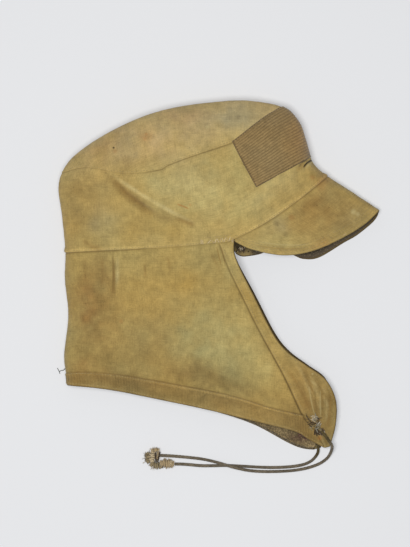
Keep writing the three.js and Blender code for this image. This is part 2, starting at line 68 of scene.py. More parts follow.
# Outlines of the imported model, with a few points moved up to 5 mm to the photographed edges
FOLD = named(
    "name x y height round",
    ("hem", -162, -115.5, 9, 10),
    ("band", -163.2, -103, 9, 11),
    ("", -164.9, -83, 10, 12),
    ("", -160.5, -42, 11, 15),
    ("", -164, -4, 13, 17),
    ("flap_seam", -163.5, 25, 14, 20),
    ("", -167, 64, 17, 26),
    ("", -170.6, 91.5, 19, 29),
    ("top_seam_back", -167, 109, 20, 30),
    ("", -154, 127, 21, 31),
    ("", -121, 150.5, 22, 32),
    ("", -84, 168.5, 22, 33),
    ("", -48, 179, 22, 34),
    ("", -10, 184, 22, 34),
    ("", 28, 185.5, 22, 33),
    ("patch_top", 66, 179, 21, 30),
    ("top_seam_front", 83, 164, 20, 27),
    ("", 90.5, 146, 18, 24),
    ("patch_bottom", 96.5, 126, 16, 18),
    ("", 102.5, 116, 14, 15),
    ("peak_seam", 114.5, 106, 13, 13),
    ("", 137, 91.5, 11, 11),
    ("", 158, 78.5, 9, 9),
    ("tip", 169.6, 69.8, 8, 8),
)
CROWN_BASE = named(
    "name x y",
    ("back", -163.5, 25),
    ("", -118, 27.5),
    ("", -58, 30.5),
    ("facing", -1, 35.5),
    ("ear", 15, 39.5),
    ("", 52, 58.5),
    ("", 87, 83.5),
    ("front", 114.5, 106),
)
TOP_SEAM = named(
    "x y",
    (-167, 109),
    (-141, 114.5),
    (-100, 108),
    (-64.5, 111.6),
    (-53, 117),
    (-28, 126.3),
    (11, 139.5),
    (50, 154.5),
    (83, 164),
)
FACING_SEAM = named(
    "name x y left_x left_y",
    ("crown", -1, 35.5, -1, 35.5),
    ("", 9, 9, 9, 9),
    ("", 25, -24, 25, -24),
    ("", 42, -58, 41, -58),
    ("", 68.5, -107, 66, -108),
    ("band", 88, -148, 82, -158),
    ("", 101, -164, 92, -173),
    ("chin", 111.5, -182, 100, -184.5),
)
FACE_EDGE = named(
    "x y left_x left_y",
    (15, 39.5, 15, 39.5),
    (16.5, 19.5, 17.2, 19),
    (35.3, -19.7, 36.8, -18.5),
    (56.8, -62.2, 58.8, -61),
    (72.6, -81.6, 74.2, -80.2),
    (92.7, -95.5, 93.4, -94.7),
    (112.5, -110.2, 112.7, -109.6),
    (123, -132, 116, -132),
    (123, -157, 116, -157),
    (117, -180.5, 107.5, -182.5),
)
BAND_SEAM = named(
    "x y left_x left_y",
    (-163.2, -103, -163.2, -103),
    (-143, -102, -143, -102),
    (-106, -105, -106, -105),
    (-46, -115.5, -46, -116),
    (11, -127, 11, -131),
    (54, -140, 50, -149),
    (88, -148, 82, -158),
)
HEM = named(
    "x y left_x left_y",
    (-162, -115.5, -162, -115.5),
    (-118, -120, -118, -120),
    (-64, -130.5, -64, -131),
    (-12, -141.5, -12, -142),
    (35, -153, 35, -157),
    (80, -164.5, 73, -177),
    (95, -173, 88, -183),
    (111.5, -182, 100, -184.5),
)
PEAK_EDGE = named("x y", (169.6, 69.8), (151, 53), (119, 35), (92, 25), (64, 22.5), (33, 29), (16.5, 36.8))
PEAK_EDGE_LEFT = named(
    "x y",
    (169.6, 69.8),
    (167.4, 63.4),
    (162.8, 57.4),
    (156.2, 51.6),
    (144.4, 42.6),
    (132.2, 35.8),
    (106, 20.2),
    (90, 18.5),
    (80, 22),
    (68, 27.5),
    (54, 27.5),
    (42, 23.5),
    (31, 21.6),
    (24, 21.3),
    (18.4, 23.6),
    (15.6, 27.8),
)
PATCH_BACK = named("x y", (13.5, 141), (25, 118.5), (38.5, 94))
PATCH_TOP = named("x y", (66, 179), (46, 166.5), (13.5, 141))
PATCH_LOWER = named("x y", (96.5, 126), (84, 119), (38.5, 94))

# Height of the right wall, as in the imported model
LEVEL = 20
SWELLS = named(
    "x y half_x half_y rise",
    (-50, 98, 115, 105, 38),
    (52, 125, 60, 60, 14),
    (5, 25, 50, 40, -3),
    (-70, -60, 80, 60, 5),
    (105, -165, 45, 45, -5),
    (140, 40, 60, 45, -6),
)
FURROWS = named(
    "x0 y0 x1 y1 width depth",
    (-116, 92, -30, 44, 11, 4.5),
    (74, 106, 94, 119, 6, 2.5),
)
LEFT_LEVEL = 1
LEFT_ROUND = 1.2  # how far from the fold the left wall turns, in heights of the fold
PATCH_ROOM = {"x": 60, "y": 138, "inner": 54, "outer": 92, "rise": 2.6}
FOLD_GAP = 0.5

# Thickness of each cloth, and how far its middle lies out of the middle of the canvas
CANVAS = 1.7
PATCH = 1.4
PATCH_LIFT = 1.5
PILE = 2.2
PILE_LIFT = -2.6
CROWN_PILE_LIFT = -4.6
CROWN_PILE_DROP = 3.5
PEAK_LINING = 1.0
PEAK_LINING_LIFT = -1.4

# Finer creases of the right wall: each a ridge, or a furrow where rise is negative
CREASES = named(
    "x0 y0 x1 y1 bow width rise",
    (-118, 110, -20, 52, -3, 2.4, 1.3),
    (-120, 107, -60, 60, -3, 3.8, -1.7),
    (-48, 63, -26, 54.5, 0, 3.0, -1.0),
    (-158, 96, -108, 74, 4, 6.0, -0.7),
    (-152, 40, -108, 33, 3, 5.0, -0.8),
    (-112.5, 24, -112, -26, 1, 1.9, -1.5),
    (-106, 24, -107, -20, -1, 3.0, 0.7),
    (-124, 22, -126, -14, 1, 3.2, -0.7),
    (-143, 20, -141, -10, -1, 3.0, -0.6),
    (-80, 22, -79, 2, 1, 1.8, -0.9),
    (-56, 23, -52, -2, 1, 2.4, -0.6),
    (-34, 24, -30, 6, -1, 2.0, -0.5),
    (-135, -96, -66, -34, 6, 7.0, 0.9),
    (-112, -98, -30, -46, -6, 8.0, -0.8),
    (-160, -60, -118, -52, 2, 7.0, -0.7),
    (-60, -108, 0, -70, 5, 8.0, 0.8),
    (0, 0, 40, -90, 6, 8.0, 0.7),
    (-8, 30, 6, 4, 0, 2.2, -0.9),
    (4, 32, 12, 12, 0, 1.8, -0.8),
    (66, -92, 98, -148, 3, 2.6, -1.9),
    (76, -86, 101, -144, 3, 2.8, 1.7),
    (85, -94, 104, -146, 3, 2.4, -2.0),
    (93, -101, 107, -148, 3, 2.6, 1.8),
    (101, -106, 110, -152, 3, 2.4, -2.1),
    (109, -112, 113, -156, 2, 2.6, 1.6),
    (115, -120, 115, -164, 1, 2.4, -1.5),
    (56, -118, 92, -154, -2, 3.2, -1.3),
    (30, -134, 84, -156, -3, 3.0, 0.8),
    (118, 96, 160, 66, -3, 5.0, -0.5),
    (60, 60, 132, 60, -8, 8.0, 0.6),
    (30, 40, 112, 31, -6, 2.2, -0.5),
    (30, 44, 116, 36, -6, 2.4, 0.4),
    (-60, 160, 20, 170, 4, 8.0, 0.7),
    (-140, 130, -90, 118, 4, 6.0, -0.7),
    (-40, 120, -20, 150, 2, 7.0, 0.6),
    (20, 60, 80, 112, 5, 8.0, 0.6),
    (83, 113.5, 96, 124.5, 1.6, 1.3, -2.4),
    (82, 109, 99, 119, 1.6, 3.0, 0.9),
)

# Stains: ovals of a tint, with how strongly each covers the right side. The left side takes a third of it.
TINTS = {
    "brown": (0.29, 0.175, 0.052),
    "dark": (0.2, 0.135, 0.042),
    "green": (0.43, 0.375, 0.155),
    "grey": (0.38, 0.33, 0.185),
    "rust": (0.4, 0.18, 0.05),
    "ochre": (0.45, 0.295, 0.08),
    "pale": (0.56, 0.465, 0.22),
    "straw": (0.52, 0.42, 0.16),
    "blush": (0.59, 0.435, 0.215),
    # the near-black inside holes and gaps: painted shade
    "hole": (0.03, 0.02, 0.01),
}
STAINS = named(
    "tint x y half_x half_y turn strength",
    ("blush", -40, 152, 112, 30, 12, 0.75),
    ("blush", 50, 168, 44, 18, -20, 0.6),
    ("straw", 14, 8, 9, 26, 20, 0.6),
    ("brown", -58, -72, 76, 46, -8, 0.34),
    ("brown", 101, -128, 24, 48, 0, 0.75),
    ("brown", 80, -98, 24, 22, -50, 0.5),
    ("dark", 106.5, -144, 3.4, 17, 4, 0.45),
    ("rust", 115.5, -150, 3, 13, 4, 0.35),
    ("grey", 112, -175, 7, 7, 0, 0.5),
    ("green", 66, -76, 26, 14, -50, 0.35),
    ("brown", -62, -40, 60, 34, 0, 0.32),
    ("brown", 108, 70, 30, 20, 25, 0.22),
    ("dark", 112, 88, 26, 12, -32, 0.16),
    ("brown", -135, -40, 25, 44, 8, 0.85),
    ("brown", -126, 2, 14, 28, 0, 0.5),
    ("rust", -140, -28, 10, 22, 0, 0.3),
    ("dark", -130, -90, 24, 14, 0, 0.5),
    ("rust", -145, -95, 10, 7, 0, 0.4),
    ("dark", -27, -88, 9, 24, -12, 0.4),
    ("brown", -14, -104, 22, 12, -16, 0.4),
    ("brown", -118, -20, 14, 32, 0, 0.5),
    ("ochre", -72, -20, 40, 24, 0, 0.35),
    ("green", -18, -66, 42, 36, -40, 0.75),
    ("green", 14, -100, 34, 26, -30, 0.5),
    ("dark", 2, -112, 40, 11, -12, 0.7),
    ("brown", -30, -104, 36, 13, -8, 0.45),
    ("brown", 66, -110, 13, 8, -24, 0.4),
    ("brown", 40, -126, 34, 7, -14, 0.35),
    ("straw", -20, 84, 66, 34, 8, 0.75),
    ("straw", 34, 112, 30, 36, 0, 0.6),
    ("straw", -60, 98, 40, 12, -22, 0.6),
    ("straw", 20, -58, 26, 40, 28, 0.5),
    ("straw", 52, -100, 26, 20, -50, 0.5),
    ("straw", 62, 36, 34, 12, 6, 0.55),
    ("ochre", 22, 26, 10, 30, 20, 0.35),
    ("ochre", 45, -45, 8, 40, 28, 0.35),
    ("pale", 140, 62, 16, 8, 30, 0.4),
    ("ochre", -60, 50, 50, 14, 0, 0.5),
    ("ochre", -32, -8, 22, 12, 0, 0.7),
    ("brown", -140, -108, 30, 9, 0, 0.75),
    ("brown", -90, -113, 44, 9, -8, 0.7),
    ("dark", -60, -124, 60, 6, -10, 0.4),
    ("brown", 20, -136, 50, 8, -12, 0.55),
    ("brown", 84, -160, 26, 12, -30, 0.6),
    ("brown", 100, -150, 24, 34, 0, 0.55),
    ("dark", 121, -140, 8, 34, 4, 0.7),
    ("dark", 104, -172, 20, 12, 0, 0.45),
    ("ochre", 34, -30, 8, 44, 26, 0.4),
    ("brown", 60, -80, 12, 30, 40, 0.3),
    ("brown", -140, 70, 24, 34, 0, 0.4),
    ("brown", -148, 96, 22, 14, 20, 0.35),
    ("ochre", -118, 40, 44, 14, 0, 0.35),
    ("green", -2, 112, 34, 34, 0, 0.45),
    ("green", 28, 70, 36, 16, 30, 0.35),
    ("pale", -30, 100, 40, 22, 0, 0.35),
    ("pale", 56, 92, 30, 14, 30, 0.3),
    ("grey", 20, 166, 26, 12, 16, 0.75),
    ("grey", 4, 174, 40, 10, 8, 0.4),
    ("pale", 26, 152, 26, 10, 20, 0.45),
    ("grey", -98, 132, 14, 24, 0, 0.35),
    ("rust", -77, 148, 6.5, 5, 0, 0.42),
    ("rust", -126, 134, 24, 10, 30, 0.25),
    ("rust", -34, 168, 26, 8, 10, 0.22),
    ("brown", -97, 118, 8, 12, 0, 0.3),
    ("grey", -124, 60, 16, 22, 0, 0.25),
    ("green", -132, 36, 20, 14, 0, 0.2),
    ("brown", 100, 76, 18, 10, 36, 0.7),
    ("rust", 108, 98, 12, 8, 36, 0.5),
    ("brown", 96, 66, 28, 11, 30, 0.4),
    ("grey", 62, 56, 12, 9, 0, 0.45),
    ("brown", 118, 62, 34, 22, 20, 0.6),
    ("dark", 128, 46, 26, 9, 34, 0.3),
    ("brown", 146, 66, 22, 14, 30, 0.35),
    ("rust", 112, 34, 12, 5, 20, 0.3),
    ("ochre", 96, 104, 16, 8, 30, 0.4),
)
# Painted shade in the creases and painted highlight on their ridges, a few in rust or ochre: strokes with a
# tint
CREASE_SHADING = named(
    "x0 y0 x1 y1 bow width tint strength",
    (-119, 107, -62, 61, -3, 4.4, "brown", 0.75),
    (-116, 100, -70, 62, -3, 2.4, "dark", 0.4),
    (-50, 62, -24, 53, 0, 3.2, "brown", 0.6),
    (-70, 66, -46, 58, -1, 4.0, "brown", 0.25),
    (-119, 111, -20, 53, -3, 1.8, "pale", 0.6),
    (-112.5, 24, -113, -24, 1, 1.7, "brown", 0.9),
    (-108, 24, -109, -16, 1, 1.4, "pale", 0.35),
    (-124, 22, -125, -14, 1, 2.0, "brown", 0.5),
    (-142, 20, -141, -8, -1, 1.8, "brown", 0.4),
    (-80, 14, -79, -4, 1, 1.6, "brown", 0.6),
    (-56, 22, -52, 2, 1, 1.4, "brown", 0.35),
    (-12, 28, 2, 0, 1, 1.4, "brown", 0.4),
    (80, 110, 92, 118, 1.6, 2.2, "brown", 0.6),
    (-147, 40, -122, 28, -2, 2.6, "brown", 0.45),
    (-140, 30, -118, 28, 0, 1.8, "brown", 0.3),
    (68, -94, 98, -148, 3, 1.8, "brown", 0.55),
    (86, -95, 104, -146, 3, 1.7, "brown", 0.6),
    (102, -107, 110, -152, 3, 1.7, "dark", 0.5),
    (116, -121, 116, -164, 1, 1.6, "brown", 0.5),
    (78, -87, 101, -144, 3, 1.4, "pale", 0.3),
    (94, -102, 107, -148, 3, 1.4, "pale", 0.35),
    (109, -113, 113, -156, 2, 1.4, "pale", 0.35),
    (40, 27, 88, 29, -3, 1.6, "rust", 0.18),
    (30, 34, 112, 31, -5, 1.5, "brown", 0.25),
    (120, 96, 158, 72, 0, 3.0, "ochre", 0.3),
)

# Small marks on the right side, round in plan: a worn hole, dark gaps and faint dark spots, all dark with
# painted shade, rust flecks and pale specks
MARKS = named(
    "x y radius tint strength",
    (-111.8, 135.2, 1.6, "hole", 0.85),
    (-110.0, 131.4, 3.2, "rust", 0.28),
    (-77.3, 149.4, 2.4, "rust", 0.45),
    (-78.6, 144.0, 2.6, "rust", 0.25),
    (-31.0, 74.5, 2.0, "rust", 0.35),
    (95.6, -152.2, 2.4, "hole", 0.8),
    (103.9, -152.1, 1.9, "hole", 0.75),
    (103.0, -160.6, 3.4, "hole", 0.8),
    (107.2, -162.7, 2.6, "hole", 0.75),
    (99.4, -156.2, 1.8, "hole", 0.6),
    (-13.0, 157.0, 2.6, "pale", 0.5),
    (19.6, 167.5, 4.0, "hole", 0.25),
    (-104.0, -48.0, 3.0, "rust", 0.3),
    (106.5, -171.7, 3.4, "rust", 0.7),
    (98.6, -103.9, 1.6, "pale", 0.5),
    (142.0, 68.0, 4.0, "pale", 0.5),
    (146.5, 65.5, 3.0, "pale", 0.4),
    (60.5, 56.0, 5.0, "hole", 0.25),
    (70.0, 44.0, 4.0, "hole", 0.22),
    (98.0, 104.0, 4.0, "rust", 0.35),
    (76.0, 62.0, 4.5, "rust", 0.3),
)
# Fine lines on the right side: the tuck beside the patch and pulls in the cloth, as painted shade with
# painted highlight beside it, dark lines at the band seam and beside the right cord, and a rust streak
FINE_LINES = named(
    "x0 y0 x1 y1 bow width tint strength",
    (99.6, 123.2, 88.2, 114.0, -1.5, 1.5, "hole", 1.0),
    (100.0, 121.6, 91.0, 113.4, -1.0, 1.2, "pale", 0.5),
    (-3.4, 31.5, 1.5, 11.0, 0.2, 0.8, "brown", 0.7),
    (1.6, 31.0, 5.8, 12.0, 0.2, 0.8, "brown", 0.6),
    (34.0, 33.6, 90.0, 29.6, -2.4, 0.8, "brown", 0.4),
    (40.0, 36.6, 98.0, 34.0, -2.4, 0.9, "pale", 0.35),
    (52.0, 40.0, 84.0, 38.2, -1.0, 0.7, "brown", 0.25),
    (97.0, -148.0, 88.0, -114.0, 1.0, 1.0, "brown", 0.5),
    (101.5, -149.0, 95.0, -116.0, 1.0, 1.0, "pale", 0.35),
    (104.0, -150.0, 101.0, -118.0, 0.6, 1.1, "dark", 0.45),
    (107.5, -151.0, 107.0, -120.0, 0.4, 1.0, "pale", 0.35),
    (111.0, -153.0, 112.6, -122.0, -0.4, 1.1, "dark", 0.4),
    (113.5, -160.0, 118.6, -128.0, -0.6, 1.0, "brown", 0.45),
    (79.0, -146.0, 85.0, -149.0, 0.0, 0.9, "dark", 0.7),
    (86.0, -145.5, 98.0, -153.0, 0.0, 1.3, "dark", 0.8),
    (108.4, -161.0, 115.4, -183.0, 0.0, 3.2, "dark", 0.85),
    (-45.2, 75.6, -32.0, 70.4, 0.3, 1.1, "rust", 0.7),
    (-112.9, 25.0, -113.2, -18.0, 0.6, 1.0, "dark", 0.55),
)
CLOTH_COLOUR = (0.475, 0.345, 0.12)
FLAP_COLOUR = (0.455, 0.33, 0.11)
HEM_COLOUR = (0.382, 0.265, 0.09)
# the left facing is the same canvas, painted darker as the shade beside the right half's face edge
LEFT_FACING_SHADED_COLOUR = (0.2, 0.15, 0.065)
PATCH_COLOUR = (0.275, 0.19, 0.082)
PATCH_RUST = {"x": 84, "y": 148, "half_x": 14, "half_y": 28}
PATCH_RUST_COLOUR = (0.38, 0.22, 0.075)
PILE_COLOUR = (0.36, 0.265, 0.13)
PILE_STAIN = {"x": 89, "y": -171, "half_x": 11, "half_y": 5}
PILE_STAIN_COLOUR = (0.12, 0.045, 0.045)
UNDERSIDE_COLOUR = (0.1, 0.076, 0.048)
TURNING_COLOUR = (0.36, 0.26, 0.1)


def noise(x, y, cell, seed):
    """Smooth noise from -1 to 1, with lumps about cell wide."""
    gx, gy = np.asarray(x) / cell, np.asarray(y) / cell
    ix, iy = np.floor(gx).astype(np.int64), np.floor(gy).astype(np.int64)
    fx, fy = smooth(gx - ix), smooth(gy - iy)

    def corner(i, j):
        h = (i * 374761393 + j * 668265263 + seed * 362437) & 0xFFFFFFFF
        h = ((h ^ (h >> 13)) * 1274126177) & 0xFFFFFFFF
        return ((h ^ (h >> 16)) & 0xFFFF) / 32767.5 - 1

    low = corner(ix, iy) * (1 - fx) + corner(ix + 1, iy) * fx
    high = corner(ix, iy + 1) * (1 - fx) + corner(ix + 1, iy + 1) * fx
    return low * (1 - fy) + high * fy


def rough(x, y, cell, seed, octaves=3):
    """Noise of several sizes together, each turned so that no grid shows."""
    total, share = 0, 1
    first_turn, next_turn = 0.6, 1.1  # in radians
    for k in range(octaves):
        turn = first_turn + next_turn * k
        u = x * math.cos(turn) + y * math.sin(turn)
        v = y * math.cos(turn) - x * math.sin(turn)
        total = total + share * noise(u, v, cell / 2**k, seed + 17 * k)
        share *= 0.5
    return total / 1.6


def smooth(t):
    """A step from 0 to 1 with soft ends."""
    t = np.clip(t, 0, 1)
    return t * t * (3 - 2 * t)


def bell(distance, reach):
    """1 at no distance, and soft down to 0 past the reach."""
    return np.exp(-((distance / reach) ** 2))


def spot(s, x, y):
    """A soft oval in plan: 1 in its middle, and down to 0 past its half sizes."""
    return np.exp(-(((x - s["x"]) / s["half_x"]) ** 2) - ((y - s["y"]) / s["half_y"]) ** 2)


def mixed(one, two, share):
    """One colour turned towards another, by a share from 0 to 1."""
    return np.asarray(one) * (1 - share) + np.asarray(two) * share


def curve(points, t):
    """A smooth curve through the inner points of a row, at the shares t of the way from each to the next."""
    parts = []
    for a, b, c, d in zip(points, points[1:], points[2:], points[3:]):
        bend = (2 * a - 5 * b + 4 * c - d) * t**2 + (3 * b - a - 3 * c + d) * t**3
        parts.append(0.5 * (2 * b + (c - a) * t + bend))
    return np.vstack(parts)


def runs_of(points):
    """How far along a line each of its points lies."""
    return np.concatenate([[0], np.cumsum(np.linalg.norm(np.diff(points, axis=0), axis=1))])


class Track:
    """A smooth curve through rows, with its points at fractions of its length."""

    STEPS = 12

    def __init__(self, rows, columns=("x", "y")):
        points = np.array([[row[c] for c in columns] for row in rows], float)
        padded = np.vstack([points[:1], points, points[-1:]])
        t = (np.arange(self.STEPS) + 1)[:, None] / self.STEPS
        self.samples = np.vstack([points[:1], curve(padded, t)])
        self.lengths = runs_of(self.samples[:, :2])
        self.names = {row.get("name"): k * self.STEPS for k, row in enumerate(rows)}

    def station(self, name):
        """The fraction of the length at which a named row lies."""
        return self.lengths[self.names[name]] / self.lengths[-1]

    def at(self, fraction):
        s = np.clip(fraction, 0, 1) * self.lengths[-1]
        columns = [np.interp(s, self.lengths, self.samples[:, k]) for k in range(2)]
        return np.stack(columns, axis=-1)

    def part(self, *names):
        """The stretch between two named rows, or the whole curve, as a function from 0 to 1."""
        start, end = [self.station(name) for name in names] or (0.0, 1.0)
        return lambda t: self.at(start + (end - start) * np.asarray(t))


FOLD_TRACK = Track(FOLD, ("x", "y", "height", "round"))


def lines_of(side):
    """The outlines of the right half (side 1) or the left half (side -1)."""
    tables = {
        "base": CROWN_BASE,
        "top_seam": TOP_SEAM,
        "facing_seam": FACING_SEAM,
        "face_edge": FACE_EDGE,
        "band_seam": BAND_SEAM,
        "hem": HEM,
        "peak_edge": PEAK_EDGE,
        "patch_back": PATCH_BACK,
        "patch_top": PATCH_TOP,
        "patch_lower": PATCH_LOWER,
    }
    left = ("left_x", "left_y")
    if side < 0:
        tables["peak_edge"] = PEAK_EDGE_LEFT
    return {
        name: Track(rows, left if side < 0 and "left_x" in rows[0] else ("x", "y"))
        for name, rows in tables.items()
    }


LINES = {1: lines_of(1), -1: lines_of(-1)}


def straight(p, q):
    """A straight line between two points, as a function from 0 to 1."""
    return lambda t: p + (q - p) * np.asarray(t)[..., None]


def blended(near, far, start, end):
    """A shape between four edges: near and far run along u, and start and end from near to far, along w.
    Past its edges the shape goes straight on."""
    step = 0.02

    def inside(u, w):
        uu, ww = u[..., None], w[..., None]
        sides = near(u) * (1 - ww) + far(u) * ww + start(w) * (1 - uu) + end(w) * uu
        low = near(0.0) * (1 - uu) + near(1.0) * uu
        high = far(0.0) * (1 - uu) + far(1.0) * uu
        return sides - low * (1 - ww) - high * ww

    def shape(u, w):
        u, w = np.broadcast_arrays(np.asarray(u, float), np.asarray(w, float))
        cu, cw = np.clip(u, 0, 1), np.clip(w, 0, 1)
        xy = inside(cu, cw)
        for value, held, back in (
            (u, cu, lambda: inside(np.clip(cu, step, 1 - step), cw)),
            (w, cw, lambda: inside(cu, np.clip(cw, step, 1 - step))),
        ):
            past = np.abs(value - held)[..., None]
            if past.any():
                xy = xy + (xy - back()) / step * past
        return xy

    return shape


def from_fold(xy):
    """How far each point lies from the fold, the way in, and the fold's height and rounding there."""
    flat = xy.reshape(-1, 2)
    a, b = FOLD_TRACK.samples[:-1], FOLD_TRACK.samples[1:]
    edge = b[:, :2] - a[:, :2]
    size = (edge**2).sum(axis=1)
    result = np.empty((len(flat), 5))
    chunk, tiny = 4000, 0.01
    for i in range(0, len(flat), chunk):
        p = flat[i : i + chunk, None, :]
        t = np.clip(((p - a[None, :, :2]) * edge).sum(axis=2) / size, 0, 1)
        offset = p - a[None, :, :2] - edge * t[..., None]
        far = np.hypot(offset[..., 0], offset[..., 1])
        k = far.argmin(axis=1)
        row = np.arange(len(k))
        d, o, tk = far[row, k], offset[row, k], t[row, k][:, None]
        across = np.stack([edge[k, 1], -edge[k, 0]], axis=1) / np.sqrt(size[k])[:, None]
        way = np.where(d[:, None] > tiny, o / np.maximum(d, tiny)[:, None], across)
        sizes = a[k, 2:] * (1 - tk) + b[k, 2:] * tk
        result[i : i + chunk] = np.concatenate([d[:, None], way, sizes], axis=1)
    result = result.reshape(*xy.shape[:-1], 5)
    return result[..., 0], result[..., 1:3], result[..., 3], result[..., 4]


def swell(x, y):
    """The height of the right wall over the surface, without its creases."""
    z = np.full(np.shape(x), float(LEVEL))
    for s in SWELLS:
        z = z + s["rise"] * spot(s, x, y)
    return z


def measured_on(line, x, y):
    """How far each point lies along a line, from 0 to 1, and how many millimetres beside it."""
    ex, ey = line["x1"] - line["x0"], line["y1"] - line["y0"]
    dx, dy = x - line["x0"], y - line["y0"]
    length = math.hypot(ex, ey)
    return (dx * ex + dy * ey) / length**2, (dy * ex - dx * ey) / length


def tapered(along):
    """1 on the middle of a line, and soft down to 0 at its ends."""
    taper = 0.3
    return smooth(along / taper) * smooth((1 - along) / taper)


def furrows(x, y):
    """The two deepest creases, with the cloth bulging up again on their upper side."""
    z = np.zeros(np.shape(x))
    bulge_from = 0.6  # in widths of the crease
    for c in FURROWS:
        along, across = measured_on(c, x, y)
        across = across / c["width"]
        z = z + c["depth"] * tapered(along) * (across - bulge_from) * np.exp(-across * across)
    return z


def right_level(x, y):
    return swell(x, y) + furrows(x, y)


def crown_lining_level(x, y):
    return swell(x, y) - CROWN_PILE_DROP


def left_level(x, y):
    """The height of the left wall, which rises a little to make room for the patch under it."""
    room = PATCH_ROOM
    far = np.hypot(x - room["x"], y - room["y"])
    rise = 1 - smooth((far - room["inner"]) / (room["outer"] - room["inner"]))
    return LEFT_LEVEL + room["rise"] * rise


def wall(side, xy, level=None):
    """The middle of the canvas at each point of one half, and the direction out of the cap."""
    level = level or (right_level if side > 0 else left_level)
    x, y = xy[..., 0], xy[..., 1]
    far, way, height, rounding = from_fold(xy)
    reach = rounding if side > 0 else LEFT_ROUND * height
    z = level(x, y)
    left = 1 - np.minimum(1, far / reach)
    turn = np.sqrt(1 - left**2)
    start = height + side * FOLD_GAP / 2
    climb = z - start
    step = 0.5
    slope = np.stack([level(x + step, y) - z, level(x, y + step) - z], axis=-1) / step
    flat = side * (-(climb * left / reach)[..., None] * way - (turn**2)[..., None] * slope)
    out = np.concatenate([flat, side * turn[..., None]], axis=-1)
    out /= np.linalg.norm(out, axis=-1, keepdims=True)
    return np.concatenate([xy, (start + climb * turn)[..., None]], axis=-1), out


# Stations next to an edge, closer together so that a seam's groove shows
EDGE_STOPS = np.array([0, 0.4, 0.9, 1.5, 2.3, 3.3, 4.6])
TUCK = np.array([-3.0, -1.4])  # cloth that goes on under its neighbour


def spaced(length, count, fine_low=True, fine_high=True):
    """Distances along rows of these lengths, as many on each row, closer together at the ends."""
    length = np.atleast_1d(length)[:, None]
    scale = np.minimum(1, length / (4 * EDGE_STOPS[-1]))
    low = EDGE_STOPS * scale if fine_low else 0 * length
    high = length - (EDGE_STOPS[::-1] * scale if fine_high else 0 * length)
    t = np.linspace(0, 1, count + 1)[None, 1:-1]
    middle = low[:, -1:] * (1 - t) + high[:, :1] * t
    return np.concatenate([low, middle, high], axis=1)


class Panel:
    """One wall as a fine grid: points in the middle of the cloth, the way out, and how far each edge is."""

    ALONG, ACROSS, PROBES = 121, 25, 401  # how many places the shape is measured at before the grid is laid
    TUCK_END = 14  # a tuck ends this far before the fold

    def __init__(self, shape, side, step, level=None, fine="uUwW", tuck="", typical=None):
        along, across = np.linspace(0, 1, self.ALONG), np.linspace(0, 1, self.ACROSS)
        columns = shape(along[:, None], across[None, :])
        lengths = np.linalg.norm(np.diff(columns, axis=0), axis=2).sum(axis=0)
        self.typical = typical = typical or lengths.max()
        rows = max(3, round(typical / step))
        u = spaced(typical, rows, "u" in fine, "U" in fine)[0]
        if "u" in tuck:
            u = np.concatenate([TUCK, u])
        if "U" in tuck:
            u = np.concatenate([u, typical - TUCK[::-1]])
        u = u / typical
        probes = np.linspace(0, 1, self.PROBES)
        probes = (1 - np.cos(np.pi * probes)) / 2 if "W" not in fine or "b" in fine else probes**1.5
        rough_points, _ = wall(side, shape(u[:, None], probes[None, :]), level)
        steps = np.linalg.norm(np.diff(rough_points, axis=1), axis=2)
        runs = np.concatenate([np.zeros((len(u), 1)), np.cumsum(steps, axis=1)], axis=1)
        count = max(3, round(np.median(runs[:, -1]) / step))
        s = spaced(runs[:, -1], count, "w" in fine, "W" in fine)
        if "W" in tuck:
            s = np.concatenate([s, runs[:, -1:] - TUCK[::-1]], axis=1)
        w = np.stack([np.interp(d, run, probes) for d, run in zip(s, runs)])
        past = np.maximum(0, s - runs[:, -1:]) / np.maximum(runs[:, -1:], 1)
        taper = smooth(np.minimum(s, runs[:, -1:] - s) / self.TUCK_END)
        held = np.clip(u, 0, 1)[:, None]
        self.xy = shape(held + (u[:, None] - held) * taper, w + past)
        self.side = side
        self.point, self.out = wall(side, self.xy, level)
        column = np.interp(w, across, lengths)
        self.edge = {
            "u": u[:, None] * column,
            "U": (1 - u[:, None]) * column,
            "w": s,
            "W": runs[:, -1:] - s,
        }
        self.cloth = np.stack([s, u[:, None] * typical + 0 * s], axis=-1)


def folded(shape, step, fine, tuck=""):
    """One panel from two halves that meet on the fold: right's free edge, the fold, left's free edge."""
    right = Panel(shape(1), 1, step, None, fine, tuck)
    left = Panel(shape(-1), -1, step, None, fine, tuck, right.typical)

    def joined(a, b):
        return np.concatenate([a[:, :0:-1], b], axis=1)

    whole = SimpleNamespace(side=0, fold_column=right.xy.shape[1] - 1)
    whole.xy = joined(right.xy, left.xy)
    whole.point = joined(right.point, left.point)
    whole.out = joined(right.out, left.out)
    whole.point[:, whole.fold_column] = right.point[:, 0] - (0, 0, FOLD_GAP / 2)
    whole.out[:, whole.fold_column, 2] = 0
    whole.edge = {name: joined(right.edge[name], left.edge[name]) for name in right.edge}
    whole.cloth = joined(right.cloth * (-1, 1), left.cloth)
    return whole


def half_of(panel):
    """1 on the right half and 0 on the left half, with a soft change round the fold."""
    if panel.side:
        return np.full(panel.xy.shape[:2], (panel.side + 1) / 2)
    return smooth(0.5 + 0.5 * panel.out[..., 2])


def stroke(c, x, y):
    """How far each point lies in a bowed stroke: 1 on its line and 0 past its width and its ends."""
    along, across = measured_on(c, x, y)
    across = (across - 4 * c["bow"] * along * (1 - along)) / c["width"]
    return tapered(along) * np.exp(-across * across)


